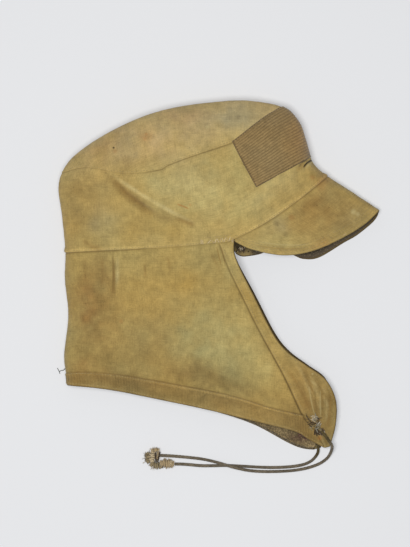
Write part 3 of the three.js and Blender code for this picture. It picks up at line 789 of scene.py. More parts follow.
def crumple(panel):
    """Creases, soft waves and the small unevenness of washed canvas, as a rise of the cloth."""
    x, y = panel.xy[..., 0], panel.xy[..., 1]
    u, v = panel.cloth[..., 0], panel.cloth[..., 1]
    right = half_of(panel)
    creases = sum(c["rise"] * stroke(c, x, y) for c in CREASES)
    waves = 1.0 * rough(x, y, cell=46, seed=3) + 0.6 * rough(x, y, cell=17, seed=5)
    fine = 0.15 * rough(u, v, cell=5.5, seed=9) + 0.05 * noise(u, v, cell=1.7, seed=12)
    back, above_ears = smooth((-20 - x) / 60), smooth((y - 20) / 10)
    bars = 0.22 * noise(x, y * 9, cell=34, seed=21) * back * above_ears
    calm = smooth((np.abs(panel.out[..., 2]) - 0.1) / 0.6)  # the cloth lies smooth round the fold
    return calm * right * (waves + creases + bars) + fine * (0.4 + 0.6 * right)


# Each kind of seam: the cloth beside it rises by the ridge within its reach and drops at the edge, and a
# darkening spreads from it, partly dirt and partly painted shade
SEAMS = {
    "over": {"ridge": 0.95, "reach": 4.6, "drop": 1.4, "edge": 0.5, "soil_and_shade": 0.35, "spread": 0.6},
    "groove": {"ridge": 0.3, "reach": 3.2, "drop": 0.9, "edge": 0.5, "soil_and_shade": 0.6, "spread": 0.7},
    "fold": {"ridge": 0.0, "reach": 3.0, "drop": 0.3, "edge": 0.6, "soil_and_shade": 0.3, "spread": 0.7},
    "dark": {"ridge": 0.6, "reach": 3.4, "drop": 1.3, "edge": 0.7, "soil_and_shade": 1.0, "spread": 1.3},
    "dingy": {"ridge": 0.2, "reach": 4.0, "drop": 0.5, "edge": 0.7, "soil_and_shade": 0.85, "spread": 0.9},
    "free": {"ridge": 0.4, "reach": 4.0, "drop": 0.3, "edge": 0.6, "soil_and_shade": 0.45, "spread": 0.8},
}
# cloth that goes under its neighbour drops and is darker near the edge: painted shade
UNDER_SEAM = {"tuck_drop": 1.3, "drop": 0.9, "edge": 0.9, "soil_and_shade": 0.85, "spread": 1.5}
RIDGE_HIGHLIGHT_IN, RIDGE_HIGHLIGHT_SPREAD = 1.7, 1.2  # where the ridge beside a seam is painted paler, as a highlight

# How strongly each long seam shows along the cap, since wear has closed it in places
SEAM_SHOWS = {
    "top": named("x strength", (-168, 0.6), (-148, 0.55), (-128, 0.1), (-90, 0.15), (-70, 0.85), (90, 1)),
    "band": named("x strength", (-165, 0.3), (-110, 0.4), (-60, 0.85), (90, 1)),
    "facing": named("x strength", (0, 0.6), (30, 0.95), (60, 1.1), (88, 1.35), (97, 0.4), (112, 0.2)),
    "base": named("x strength", (-165, 1.25), (-88, 1.2), (-66, 0.45), (10, 0.5), (40, 0.9), (115, 1)),
}


def seams(panel, kinds):
    """How far the cloth rises beside its edges, how much darker it is there, partly dirt and partly painted
    shade, and how much paler its ridge is painted, as a highlight.
    """
    rise, soil_and_shade, wear_and_highlight = np.zeros((3, *panel.xy.shape[:2]))
    for edge, kind in kinds.items():
        d = np.maximum(panel.edge[edge], 0)
        kind, _, line = kind.partition(" ")
        shows = 1
        if line:
            shows = np.interp(panel.xy[..., 0], *np.array([list(r.values()) for r in SEAM_SHOWS[line]]).T)
        s = UNDER_SEAM if kind == "under" else SEAMS[kind]
        drop = s["drop"] * bell(d, s["edge"])
        soil_and_shade = np.maximum(soil_and_shade, s["soil_and_shade"] * shows * bell(d, s["spread"]))
        if kind == "under":
            rise += np.where(panel.edge[edge] < 0, -s["tuck_drop"], -shows * drop)
            continue
        rise += shows * (s["ridge"] * np.exp(-((d / s["reach"]) ** 4)) - drop)
        # painted highlight on the ridge beside the seam
        wear_and_highlight = np.maximum(wear_and_highlight, s["ridge"] * shows * bell(d - RIDGE_HIGHLIGHT_IN, RIDGE_HIGHLIGHT_SPREAD))
    return rise, np.clip(soil_and_shade, 0, 1), wear_and_highlight


def normals_of(points, out):
    """The grid's own normals, on the side that out is on."""
    n = np.cross(np.gradient(points, axis=0), np.gradient(points, axis=1))
    size = np.linalg.norm(n, axis=-1, keepdims=True)
    n = np.where(size > 1e-9, n / np.maximum(size, 1e-9), out)
    return np.where((n * out).sum(axis=-1, keepdims=True) < 0, -n, n)


def fill(layer, field, values, kind=np.float32):
    """Sets one field of all the items in a mesh's layer."""
    layer.foreach_set(field, np.ascontiguousarray(values, kind).ravel())


def new_object(name, vertices, quads, material, tint, soil_and_shade=None, cloth=None):
    """A mesh object from arrays in millimetres, smooth shaded, with its colours and cloth coordinates."""
    mesh = bpy.data.meshes.new(name)
    mesh.vertices.add(len(vertices))
    mesh.loops.add(quads.size)
    mesh.polygons.add(len(quads))
    fill(mesh.vertices, "co", vertices * MM)
    fill(mesh.loops, "vertex_index", quads, np.int32)
    fill(mesh.polygons, "loop_start", np.arange(0, quads.size, 4), np.int32)
    fill(mesh.polygons, "use_smooth", np.ones(len(quads)), bool)
    opaque = np.concatenate([tint, np.ones((len(tint), 1))], axis=1)
    fill(mesh.attributes.new("tint", "FLOAT_COLOR", "POINT").data, "color", opaque)
    if soil_and_shade is not None:
        fill(mesh.attributes.new("soil_and_shade", "FLOAT", "POINT").data, "value", soil_and_shade)
    if cloth is not None:
        fill(mesh.uv_layers.new(name="cloth").data, "uv", cloth[quads.ravel()] * MM)
    mesh.update(calc_edges=True)
    mesh.validate()
    mesh.materials.append(material)
    obj = bpy.data.objects.new(name, mesh)
    bpy.context.scene.collection.objects.link(obj)
    return obj


def rim_of(rows, columns):
    """The grid's outer points in order round it."""
    index = np.arange(rows * columns).reshape(rows, columns)
    return np.concatenate([index[0, :-1], index[:-1, -1], index[-1, :0:-1], index[:0:-1, 0]])


CLOTHS = {}  # each finished cloth: its panel, its outer face, the way out of it and its object, for threads


def shell(name, panel, points, thickness, material, tint, soil_and_shade, bulge=0.6):
    """A closed wall of even thickness with a rounded rim, from the grid of its middle."""
    rows, columns = points.shape[:2]
    normal = normals_of(points, panel.out)
    half = thickness / 2
    face = points + normal * half
    outer = face.reshape(-1, 3)
    inner = (points - normal * half).reshape(-1, 3)
    rim = rim_of(rows, columns)
    inward = np.clip(np.stack([rim // columns, rim % columns], axis=1), 1, [rows - 2, columns - 2])
    flat_points, flat_normal = points.reshape(-1, 3), normal.reshape(-1, 3)
    away = flat_points[rim] - points[inward[:, 0], inward[:, 1]]
    away -= flat_normal[rim] * (away * flat_normal[rim]).sum(axis=1, keepdims=True)
    away /= np.maximum(np.linalg.norm(away, axis=1, keepdims=True), 1e-6)
    rings = [
        flat_points[rim] + half * (math.cos(a) * flat_normal[rim] + bulge * math.sin(a) * away)
        for a in (math.pi / 4, math.pi / 2, 3 * math.pi / 4)
    ]
    vertices = np.concatenate([outer, inner, *rings])
    vertices[:, 2] = np.maximum(vertices[:, 2], 0)
    index = np.arange(rows * columns).reshape(rows, columns)
    a, b, c, d = index[:-1, :-1], index[1:, :-1], index[1:, 1:], index[:-1, 1:]
    front = np.stack([a, b, c, d], axis=-1).reshape(-1, 4)
    quads = [front, front[:, ::-1] + rows * columns]
    loops = [rim]
    loops += [2 * rows * columns + k * len(rim) + np.arange(len(rim)) for k in range(3)]
    loops.append(rim + rows * columns)
    for one, two in zip(loops, loops[1:]):
        quads.append(np.stack([np.roll(one, -1), one, two, np.roll(two, -1)], axis=1))
    quads = np.concatenate(quads)
    middle = front[len(front) // 2]
    p = outer[middle]
    if np.cross(p[1] - p[0], p[2] - p[0]) @ flat_normal[middle[0]] < 0:
        quads = quads[:, ::-1]

    def spread(values):
        flat = values.reshape(rows * columns, -1)
        return np.concatenate([flat, flat] + [flat[rim]] * 3)

    obj = new_object(name, vertices, quads, material, spread(tint), spread(soil_and_shade)[:, 0], spread(panel.cloth))
    CLOTHS[name] = panel, face, normal, obj
    return obj


def stained(panel, base, amount):
    """The cloth's colour at each point: its own, its stains, painted shade and highlight along its creases,
    and its uneven fading.
    """
    x, y = panel.xy[..., 0], panel.xy[..., 1]
    wobble_x = x + 5 * rough(x, y, cell=19, seed=31)
    wobble_y = y + 5 * rough(x, y, cell=19, seed=47)
    colour = np.broadcast_to(np.array(base), (*x.shape, 3)).copy()
    patchy = np.clip(0.8 + 0.5 * rough(x, y, cell=11, seed=61), 0.2, 1.3)
    for s in STAINS:
        turn = math.radians(s["turn"])
        dx, dy = wobble_x - s["x"], wobble_y - s["y"]
        a = (dx * math.cos(turn) + dy * math.sin(turn)) / s["half_x"]
        b = (dy * math.cos(turn) - dx * math.sin(turn)) / s["half_y"]
        cover = amount * s["strength"] * np.exp(-(a * a + b * b) ** 1.2) * patchy
        colour = mixed(colour, TINTS[s["tint"]], cover[..., None])
    broken = np.clip(0.9 + 0.5 * noise(x, y, cell=9, seed=5), 0, 1.2)
    # painted shade in the creases and painted highlight on their ridges
    for c in CREASE_SHADING:
        cover = np.minimum(amount * c["strength"] * stroke(c, x, y) * broken, 1)
        colour = mixed(colour, TINTS[c["tint"]], cover[..., None])
    fade = 1 + 0.09 * rough(x, y, cell=30, seed=71) + 0.05 * rough(x, y, cell=8, seed=83)
    warm = 0.07 * rough(x, y, cell=36, seed=91)
    return colour * fade[..., None] * np.stack([1 + warm, 1 + 0 * warm, 1 - 1.6 * warm], axis=-1)


class Shader:
    """Builds one material: each call of add makes a node and returns it."""

    def __init__(self, name, roughness, specular, sheen=0.0):
        self.material = bpy.data.materials.new(name)
        self.material.use_nodes = True
        self.tree = self.material.node_tree
        self.surface = self.tree.nodes["Principled BSDF"]
        self.look({"Roughness": roughness, "Specular IOR Level": specular, "Sheen Weight": sheen})

    def add(self, kind, inputs=None, **settings):
        node = self.tree.nodes.new("ShaderNode" + kind)
        for key, value in settings.items():
            setattr(node, key, value)
        for key, value in (inputs or {}).items():
            self.set(node.inputs[key], value)
        return node

    def set(self, socket, value):
        if isinstance(value, bpy.types.Node):
            value = value.outputs[0]
        if isinstance(value, bpy.types.NodeSocket):
            self.tree.links.new(value, socket)
        else:
            socket.default_value = value

    def look(self, values):
        """Sets the surface's inputs by their names."""
        for key, value in values.items():
            self.set(self.surface.inputs[key], value)

    def carried(self, name, output="Color"):
        """A value that the mesh carries at each of its points."""
        return self.add("Attribute", attribute_name=name).outputs[output]

    def place(self):
        """Where each point lies, in metres."""
        return self.add("TexCoord").outputs["Object"]

    def math(self, operation, a, b=0.0):
        return self.add("Math", {0: a, 1: b}, operation=operation)

    def mix(self, blend, factor, a, b):
        node = self.add("Mix", data_type="RGBA", blend_type=blend)
        for socket, value in zip((node.inputs[0], node.inputs[6], node.inputs[7]), (factor, a, b)):
            self.set(socket, value)
        return node.outputs[2]

    def ramp(self, factor, *stops):
        node = self.add("ValToRGB", {"Fac": factor})
        for element, (place, grey) in zip(node.color_ramp.elements, stops):
            element.position = place
            element.color = (grey, grey, grey, 1)
        return node.outputs[0]

    def shaded(self, colour, factor, *stops, share=1.0):
        """A colour made darker and lighter by a ramp of two greys."""
        return self.mix("MULTIPLY", share, colour, self.ramp(factor, *stops))

    def painted(self, colour, cover, paint):
        """A colour with another one over it, as far as the cover says."""
        return self.mix("MIX", cover, colour, (*paint, 1))

    def measured(self, place, way, start):
        """How many millimetres each point lies along a way in plan, from a start on it."""
        dot = self.add("VectorMath", {0: place, 1: (way[0] / MM, way[1] / MM, 0)}, operation="DOT_PRODUCT")
        return self.math("SUBTRACT", dot.outputs["Value"], start)

    def noise(self, coordinates, scale, detail, roughness=0.55):
        inputs = {"Vector": coordinates, "Scale": scale, "Detail": detail, "Roughness": roughness}
        return self.add("TexNoise", inputs).outputs[0]

    def streaks(self, uv, across, along, detail):
        """Noise drawn out along one way of the cloth."""
        return self.noise(self.add("Mapping", {"Vector": uv, "Scale": (across, along, 1)}), 1.0, detail)

    def finish(self, colour, height, distance, strength):
        bump = self.add("Bump", {"Height": height, "Strength": strength, "Distance": distance})
        self.look({"Base Color": colour, "Normal": bump})
        return self.material

def threads(s, pitch):
    """Warp and weft: how high the woven surface stands, from -1 to 1, in the cloth's own coordinates."""
    uv = s.add("UVMap", uv_map="cloth")
    split = s.add("SeparateXYZ", {0: uv})
    turns = 2 * math.pi / pitch
    warp = s.math("SINE", s.math("MULTIPLY", split.outputs[0], turns))
    weft = s.math("SINE", s.math("MULTIPLY", split.outputs[1], turns))
    both = s.math("MULTIPLY", warp, weft)
    height = s.math("ADD", s.math("MULTIPLY", both, 0.7), s.math("MULTIPLY", weft, 0.3))
    return uv, height


FLATTEN = (1, 1, 0.2)  # a mark takes in a fifth of the height, so that it is round in plan


def marked(s, colour, place):
    """The named marks over a colour, as soft round spots seen from above on the right side."""
    flat = s.add("VectorMath", {0: place, 1: FLATTEN}, operation="MULTIPLY")
    ragged = s.math("MULTIPLY", s.math("SUBTRACT", s.noise(place, 900, 2.0), 0.5), 0.0022)
    for mark in MARKS:
        centre = wall(1, np.array([[mark["x"], mark["y"]]]))[0][0] * MM * FLATTEN
        far = s.add("VectorMath", {0: flat, 1: tuple(centre)}, operation="DISTANCE").outputs["Value"]
        radius = mark["radius"] * MM
        ends = {"From Min": 0.3 * radius, "From Max": radius, "To Min": mark["strength"], "To Max": 0.0}
        cover = s.add("MapRange", {"Value": s.math("ADD", far, ragged), **ends})
        colour = s.painted(colour, cover, TINTS[mark["tint"]])
    return colour


def with_fine_lines(s, colour, place):
    """The fine lines over a colour, seen from above on the right side, with soft edges and ends."""
    height = s.add("SeparateXYZ", {0: place}).outputs[2]
    upper = s.add("MapRange", {"Value": height, "From Min": 6 * MM, "From Max": 9 * MM})
    for c in FINE_LINES:
        start = np.array([c["x0"], c["y0"]])
        way = np.array([c["x1"], c["y1"]]) - start
        length = np.linalg.norm(way)
        way /= length
        aside = np.array([-way[1], way[0]])
        along = s.math("DIVIDE", s.measured(place, way, way @ start), length)
        across = s.measured(place, aside, aside @ start)
        middle = s.math("MULTIPLY", along, s.math("SUBTRACT", 1.0, along))
        across = s.math("SUBTRACT", across, s.math("MULTIPLY", middle, 4 * c["bow"]))
        reach = {"From Min": 0.2 * c["width"], "From Max": c["width"]}
        cover = {"To Min": c["strength"], "To Max": 0.0}
        near = s.add("MapRange", {"Value": s.math("ABSOLUTE", across), **reach, **cover})
        ends = s.add("MapRange", {"Value": middle, "From Min": 0.0, "From Max": 0.14})
        cover = s.math("MULTIPLY", s.math("MULTIPLY", near, ends), upper)
        colour = s.painted(colour, cover, TINTS[c["tint"]])
    return colour


def canvas_material():
    """Washed cotton canvas: weave, slubs, mottled fading, small specks, and dirt in the seams with painted
    shade there and in hollows.
    """
    s = Shader("canvas", roughness=0.93, sheen=0.12, specular=0.15)
    place = s.place()
    uv, weave = threads(s, 0.0007)
    slubs = s.math("ADD", s.streaks(uv, 60, 900, 2.0), s.streaks(uv, 900, 60, 2.0))
    grain = s.noise(place, 700, 2.0, 0.6)
    woven = s.math("ADD", s.math("MULTIPLY", weave, 0.5), 0.5)
    colour = s.shaded(s.carried("tint"), s.noise(place, 130, 4.0, 0.6), (0.3, 0.84), (0.7, 1.1))
    colour = s.shaded(colour, s.math("MULTIPLY", slubs, 0.5), (0.35, 0.86), (0.65, 1.1))
    colour = s.shaded(colour, grain, (0.3, 0.9), (0.7, 1.07))
    colour = s.shaded(colour, woven, (0.0, 0.86), (1.0, 1.08))
    colour = s.shaded(colour, s.noise(place, 420, 1.0), (0.27, 0.55), (0.33, 1.0), share=0.4)
    colour = with_fine_lines(s, marked(s, colour, place), place)
    # the darkening that the mesh carries: dirt, and painted shade along seams, in gathers and under the peak
    shade_and_dirt = s.math("MULTIPLY", s.carried("soil_and_shade", "Fac"), 0.9)
    colour = s.painted(colour, shade_and_dirt, (0.1, 0.062, 0.018))
    bump = s.math("ADD", s.math("MULTIPLY", weave, 0.35), s.math("MULTIPLY", slubs, 0.5))
    bump = s.math("ADD", bump, s.math("MULTIPLY", grain, 0.6))
    return s.finish(colour, bump, 0.0003, 0.8)


def corduroy_material():
    """Worn corduroy: the ribs are modelled, with their nap, bald tops and valleys darkened by painted shade
    here.
    """
    s = Shader("corduroy", roughness=0.95, sheen=0.25, specular=0.12)
    nap = s.streaks(s.add("UVMap", uv_map="cloth"), 350, 1400, 3.0)
    colour = s.shaded(s.carried("tint"), nap, (0.3, 0.72), (0.7, 1.2))
    colour = s.shaded(colour, s.noise(s.place(), 160, 4.0, 0.6), (0.3, 0.84), (0.7, 1.12))
    colour = s.painted(colour, s.carried("soil_and_shade", "Fac"), (0.07, 0.043, 0.016))
    return s.finish(colour, nap, 0.0005, 0.8)


def pile_material():
    """Matted wool pile: curls with painted shade in the gaps between them, and a soft sheen."""
    s = Shader("pile", roughness=1.0, sheen=0.3, specular=0.1)
    curls = s.add("TexVoronoi", {"Vector": s.place(), "Scale": 620.0, "Randomness": 1.0}).outputs[0]
    fluff = s.noise(s.place(), 900, 3.0, 0.7)
    # each curl lighter in its middle and darker towards its edge: painted shade in the gaps
    colour = s.shaded(s.carried("tint"), curls, (0.0, 1.3), (0.6, 0.55))
    colour = s.shaded(colour, fluff, (0.3, 0.65), (0.7, 1.4))
    return s.finish(colour, s.math("SUBTRACT", fluff, curls), 0.0009, 1.0)


def underside_material():
    """The peak's dark underside: worn brown cotton with pale crumbs of dirt."""
    s = Shader("dark_lining", roughness=0.75, sheen=0.1, specular=0.3)
    _, weave = threads(s, 0.0008)
    worn = s.ramp(s.noise(s.place(), 260, 4.0, 0.65), (0.5, 0.0), (0.72, 0.75))
    colour = s.painted(s.carried("tint"), worn, (0.14, 0.1, 0.055))
    crumbs = s.ramp(s.noise(s.place(), 700, 1.0), (0.6, 0.0), (0.68, 0.7))
    colour = s.painted(colour, crumbs, (0.3, 0.24, 0.14))
    return s.finish(colour, weave, 0.0003, 0.6)


def cord_material():
    """Braided cotton cord, gone dark and a little shiny with handling."""
    s = Shader("cord", roughness=0.8, sheen=0.1, specular=0.3)
    fibre = s.noise(s.place(), 1800, 2.0, 0.6)
    colour = s.shaded(s.carried("tint"), s.noise(s.place(), 240, 3.0, 0.6), (0.3, 0.7), (0.7, 1.35))
    colour = s.shaded(colour, fibre, (0.3, 0.75), (0.7, 1.25))
    return s.finish(colour, fibre, 0.0003, 0.8)


def yarn_material(name):
    """Loose cotton thread or yarn, with its fibres."""
    s = Shader(name, roughness=0.95, sheen=0.2, specular=0.15)
    fibre = s.noise(s.place(), 1500, 3.0, 0.65)
    colour = s.shaded(s.carried("tint"), fibre, (0.3, 0.6), (0.7, 1.3))
    return s.finish(colour, fibre, 0.0004, 1.0)


MATERIALS = {
    "canvas": canvas_material(),
    "corduroy": corduroy_material(),
    "pile": pile_material(),
    "dark_lining": underside_material(),
    "cord": cord_material(),
    "yarn": yarn_material("yarn"),
    "thread": yarn_material("thread"),
}


def place_piece(obj, node=None):
    """Makes a finished piece ride on the cap and stand for its CAD node, if it has one."""
    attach(obj, "root")
    if node:
        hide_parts(node)


def camera():
    """The camera looks straight down on the middle of the picture, from far off, with a long lens."""
    height, frame_width, frame_height = 4000, 410, 547
    middle_x, middle_y, middle_z = -15.4, 2.65, 20  # the middle of the picture, at the cap's middle height
    scale = 1.06  # millimetres to a pixel there
    data = bpy.data.cameras.new("camera")
    data.sensor_width = 36
    data.lens = data.sensor_width * (height - middle_z) / (scale * max(frame_width, frame_height))
    obj = bpy.data.objects.new("camera", data)
    obj.location = (middle_x * MM, middle_y * MM, height * MM)
    bpy.context.scene.collection.objects.link(obj)
    bpy.context.scene.camera = obj


def area_light(name, place, target, size, power, colour):
    data = bpy.data.lights.new(name, "AREA")
    data.shape = "DISK"
    data.size = size
    data.energy = power
    data.color = colour
    obj = bpy.data.objects.new(name, data)
    obj.location = place
    obj.rotation_euler = (Vector(target) - Vector(place)).to_track_quat("-Z", "Y").to_euler()
    bpy.context.scene.collection.objects.link(obj)


def studio():
    """A pale table that is faintly lit from within, an even pale sky and one large soft light overhead."""
    mesh = bpy.data.meshes.new("floor")
    reach = 6
    corners = [(-reach, -reach, 0), (reach, -reach, 0), (reach, reach, 0), (-reach, reach, 0)]
    mesh.from_pydata(corners, [], [(0, 1, 2, 3)])
    floor = bpy.data.objects.new("floor", mesh)
    floor.location.z = -0.0002
    bpy.context.scene.collection.objects.link(floor)
    s = Shader("floor", roughness=0.85, specular=0.1)
    glow = {"Emission Color": (0.98, 0.985, 1.0, 1), "Emission Strength": 0.285}
    s.look({"Base Color": (0.5, 0.506, 0.522, 1), **glow})
    mesh.materials.append(s.material)
    floor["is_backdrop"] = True
    world = bpy.data.worlds.new("sky")
    world.use_nodes = True
    sky = world.node_tree.nodes["Background"]
    sky.inputs["Color"].default_value = (0.96, 0.98, 1.0, 1)
    sky.inputs["Strength"].default_value = 0.22
    bpy.context.scene.world = world
    area_light("overhead", (-0.2, -0.08, 2.3), (0, 0, 0), 0.9, 44.3, (1.0, 0.995, 0.985))
    bpy.context.scene.view_settings.view_transform = "Standard"


def sweep(path, radius, sides):
    """A closed tube along a path: its vertices and quads. radius may change along it."""
    path = np.asarray(path, float)
    radius = np.broadcast_to(radius, len(path))
    tangent = np.gradient(path, axis=0)
    tangent /= np.maximum(np.linalg.norm(tangent, axis=1, keepdims=True), 1e-9)
    up = np.array([0, 0, 1.0]) if abs(tangent[0][2]) < 0.9 else np.array([1.0, 0, 0])
    angle = 2 * math.pi * np.arange(sides) / sides
    rings = []
    for p, t, r in zip(path, tangent, radius):
        up = up - t * (up @ t)
        up /= np.linalg.norm(up)
        side = np.cross(t, up)
        rings.append(p + r * (np.cos(angle)[:, None] * up + np.sin(angle)[:, None] * side))
    vertices = np.concatenate(rings)
    ring = np.arange(sides)
    after = (ring + 1) % sides
    starts = sides * np.arange(len(path) - 1)[:, None]
    low, high = starts + ring, starts + after
    quads = np.stack([low, high, high + sides, low + sides], axis=-1).reshape(-1, 4)
    start_cap = np.array([[i, sides - 1 - i, sides - 2 - i, i + 1] for i in range(sides // 2 - 1)])
    end_cap = start_cap[:, ::-1] + sides * (len(path) - 1)
    return vertices, np.concatenate([quads, start_cap, end_cap])[:, ::-1]


LIES_ON = 0.02  # the lowest that a cord or thread lies above the surface


class Strands:
    """Many small tubes gathered into one mesh, each with its own colour."""

    def __init__(self):
        self.vertices, self.quads, self.tints, self.count = [], [], [], 0

    def add(self, path, radius, colour, sides=6):
        vertices, quads = sweep(path, radius, sides)
        self.vertices.append(vertices)
        self.quads.append(quads + self.count)
        self.tints.append(np.broadcast_to(np.array(colour, float), (len(vertices), 3)))
        self.count += len(vertices)

    def build(self, name, material):
        vertices = np.concatenate(self.vertices)
        vertices[:, 2] = np.maximum(vertices[:, 2], LIES_ON)
        return new_object(name, vertices, np.concatenate(self.quads), material, np.concatenate(self.tints))


# The drawcord's two ends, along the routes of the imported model. z is the middle of the cord.
CORD_DIAMETER = 3.4
CORD_REST = CORD_DIAMETER / 2 + 0.1
RIGHT_CORD = named(
    "x y z",
    (108, -164.5, 18.3),
    (112.5, -170, 18.9),
    (116.5, -175.5, 19.4),
    (119.2, -180, 17.2),
    (119.2, -184.5, 11.4),
    (117.2, -190, 5.6),
    (113.5, -195, 2.4),
    (105, -200.5, CORD_REST),
    (91, -205, CORD_REST),
    (74, -207.5, CORD_REST),
    (51, -208.3, CORD_REST),
    (33, -207.3, 2.6),
    (19, -204.5, 4.7),
    (8, -201.5, 5.7),
    (-4, -198, 4.4),
    (-18, -195, 2.3),
    (-32, -193.3, CORD_REST),
    (-46, -192, 2.2),
    (-56, -191.3, 3.5),
    (-63.9, -190.9, 4.8),
)
LEFT_CORD = named(
    "x y z",
    (104.5, -178.5, 8),
    (105, -183, 6),
    (104.8, -187.5, 3.6),
    (102.5, -192, 2.1),
    (97.5, -197, CORD_REST),
    (89.5, -200.7, CORD_REST),
    (76.5, -203, CORD_REST),
    (58.5, -203.9, CORD_REST),
    (41, -203.5, CORD_REST),
    (24, -202.5, CORD_REST),
    (9, -201.8, CORD_REST),
    (-6, -202, CORD_REST),
    (-19, -202, CORD_REST),
    (-31, -201, CORD_REST),
    (-40, -200.3, 2.8),
    (-47.6, -200.1, 4.4),
)
CORD_COLOUR = (0.13, 0.104, 0.07)
CORD_NEAR_CAP_COLOUR = (0.07, 0.05, 0.016)  # darker, where it comes out of the cap


def cord_path(rows, step):
    """Points along a smooth curve through the rows, evenly spaced, and its length."""
    points = np.array([[r["x"], r["y"], r["z"]] for r in rows], float)
    padded = np.vstack([2 * points[0] - points[1], points, 2 * points[-1] - points[-2]])
    t = np.linspace(0, 1, 24, endpoint=False)[:, None]
    fine = np.vstack([curve(padded, t), points[-1:]])
    run = runs_of(fine)
    s = np.linspace(0, run[-1], max(2, round(run[-1] / step)))
    return np.stack([np.interp(s, run, fine[:, k]) for k in range(3)], axis=1), run[-1]


def braided_cord(name, rows, seed):
    """A round braid: four strands each way that pass over and under each other."""
    step, sides, lay, strands = 0.45, 16, 7.5, 4
    darker_to, plain_from = 12, 20  # millimetres from the cap
    path, length = cord_path(rows, step)
    vertices, quads = sweep(path, 1.0, sides)
    s = np.repeat(np.arange(len(path)) * step, sides)
    angle = np.tile(2 * math.pi * np.arange(sides) / sides, len(path))
    one = np.sin(strands * angle / 2 + 2 * math.pi * s / lay)
    two = np.sin(strands * angle / 2 - 2 * math.pi * s / lay)
    relief = np.maximum(np.abs(one), np.abs(two)) - 0.8
    wear_and_highlight = noise(s, 0 * s, 21, seed)
    radius = CORD_DIAMETER / 2 * (0.94 + 0.2 * relief + 0.05 * wear_and_highlight)
    centre = np.repeat(path, sides, axis=0)
    vertices = centre + (vertices - centre) * radius[:, None]
    vertices[:, 2] = np.maximum(vertices[:, 2], LIES_ON)
    # painted shade between the strands and lighter crowns, with uneven wear
    shade = 0.75 + 0.75 * (relief + 0.35) + 0.25 * wear_and_highlight
    # the cord is darker over its first millimetres from the cap
    away_from_cap = smooth((s - darker_to) / (plain_from - darker_to))[:, None]
    tint = mixed(CORD_NEAR_CAP_COLOUR, CORD_COLOUR, away_from_cap) * np.clip(shade, 0.4, 1.5)[:, None]
    obj = new_object(name, vertices, quads, MATERIALS["cord"], tint)
    place_piece(obj, name)
    return obj, path[::4], length


# The two knots, lump by lump: each lump is an oval ball of yarn, wound along its long side
KNOTS = named(
    "knot x y z half_x half_y half_z turn yarn tint",
    ("right", -71.3, -192.2, 6.6, 3.9, 6.2, 5.6, 84, 1.15, "cream"),
    ("right", -68.2, -185.4, 7.2, 4.8, 2.9, 4.2, 8, 1.0, "tan"),
    ("right", -66.2, -192.0, 6.0, 2.4, 5.2, 4.6, 80, 0.9, "tan"),
    ("right", -76.4, -193.2, 4.4, 3.1, 6.0, 4.1, 96, 0.8, "mixed"),
    ("left", -55.8, -199.4, 5.4, 8.4, 5.2, 5.2, -4, 1.2, "tan"),
    ("left", -66.8, -201.3, 3.8, 7.6, 3.8, 3.7, -8, 1.0, "mixed"),
    ("left", -52.6, -199.4, 6.6, 3.6, 3.2, 3.4, 60, 0.8, "cream"),
)
# Short dark lashings of cord round the right knot
LASHINGS = named(
    "knot x0 y0 x1 y1 z bulge",
    ("right", -68.3, -186.8, -67.4, -197.6, 6.4, 6.0),
    ("right", -63.4, -187.4, -65.8, -197.4, 5.4, 5.0),
)
YARNS = {
    "cream": (0.66, 0.53, 0.33),
    "tan": (0.5, 0.37, 0.2),
    "olive": (0.26, 0.21, 0.1),
    "mixed": (0.36, 0.28, 0.155),
    "white": (0.6, 0.54, 0.42),
    "grey": (0.27, 0.25, 0.19),
    "dark": (0.055, 0.036, 0.02),
    "plum": (0.1, 0.06, 0.045),
    "stitch": (0.4, 0.3, 0.13),
    "brown": (0.13, 0.085, 0.035),
    "ash": (0.13, 0.135, 0.11),
}


def wound_lump(strands, lump, random):
    """An oval ball of yarn: a solid core and a strand wound round it from end to end, and back."""
    half = np.array([lump["half_x"], lump["half_y"], lump["half_z"]])
    centre = np.array([lump["x"], lump["y"], lump["z"]])
    colour = np.array(YARNS[lump["tint"]])
    yarn = lump["yarn"]
    turn = math.radians(lump["turn"])
    axis = np.array([math.cos(turn), math.sin(turn), 0])
    across = np.array([-math.sin(turn), math.cos(turn), 0])
    long, wide = max(half[:2]), min(half[:2])
    steps = np.linspace(-0.97, 0.97, 11)
    core = centre + steps[:, None] * axis * (long - yarn)
    # the core is the yarn's colour made darker: painted shade between the windings
    strands.add(core, np.sqrt(1 - steps**2) * (min(wide, half[2]) - yarn), colour * 0.55, 10)
    points_a_turn, spacing = 18, 1.7 * yarn
    for direction, share, lift in ((1, 1, 0), (-1, 0.45, 0.12)):
        turns = (long * 2) / spacing * share
        t = np.linspace(0.02, 0.98, int(points_a_turn * turns))
        angle = 2 * math.pi * turns * t * direction + random.uniform(0, 6)
        along = -np.cos(math.pi * t) * 0.93
        reach = np.sqrt(1 - along**2) * (1 + 0.06 * np.sin(3.1 * angle) + lift)
        path = centre + (along * (long - 0.5 * yarn))[:, None] * axis
        path = path + (reach * np.cos(angle) * (wide - 0.5 * yarn))[:, None] * across
        path[:, 2] += reach * np.sin(angle) * (half[2] - 0.5 * yarn)
        path += 0.25 * np.stack([np.sin(angle * 0.7 + k) for k in range(3)], axis=1)
        shade = 0.9 + 0.25 * np.sin(0.35 * angle + random.uniform(0, 6))
        strands.add(path, yarn * 0.5 * (1 + 0.2 * np.sin(1.9 * angle)), colour * shade.mean(), 8)


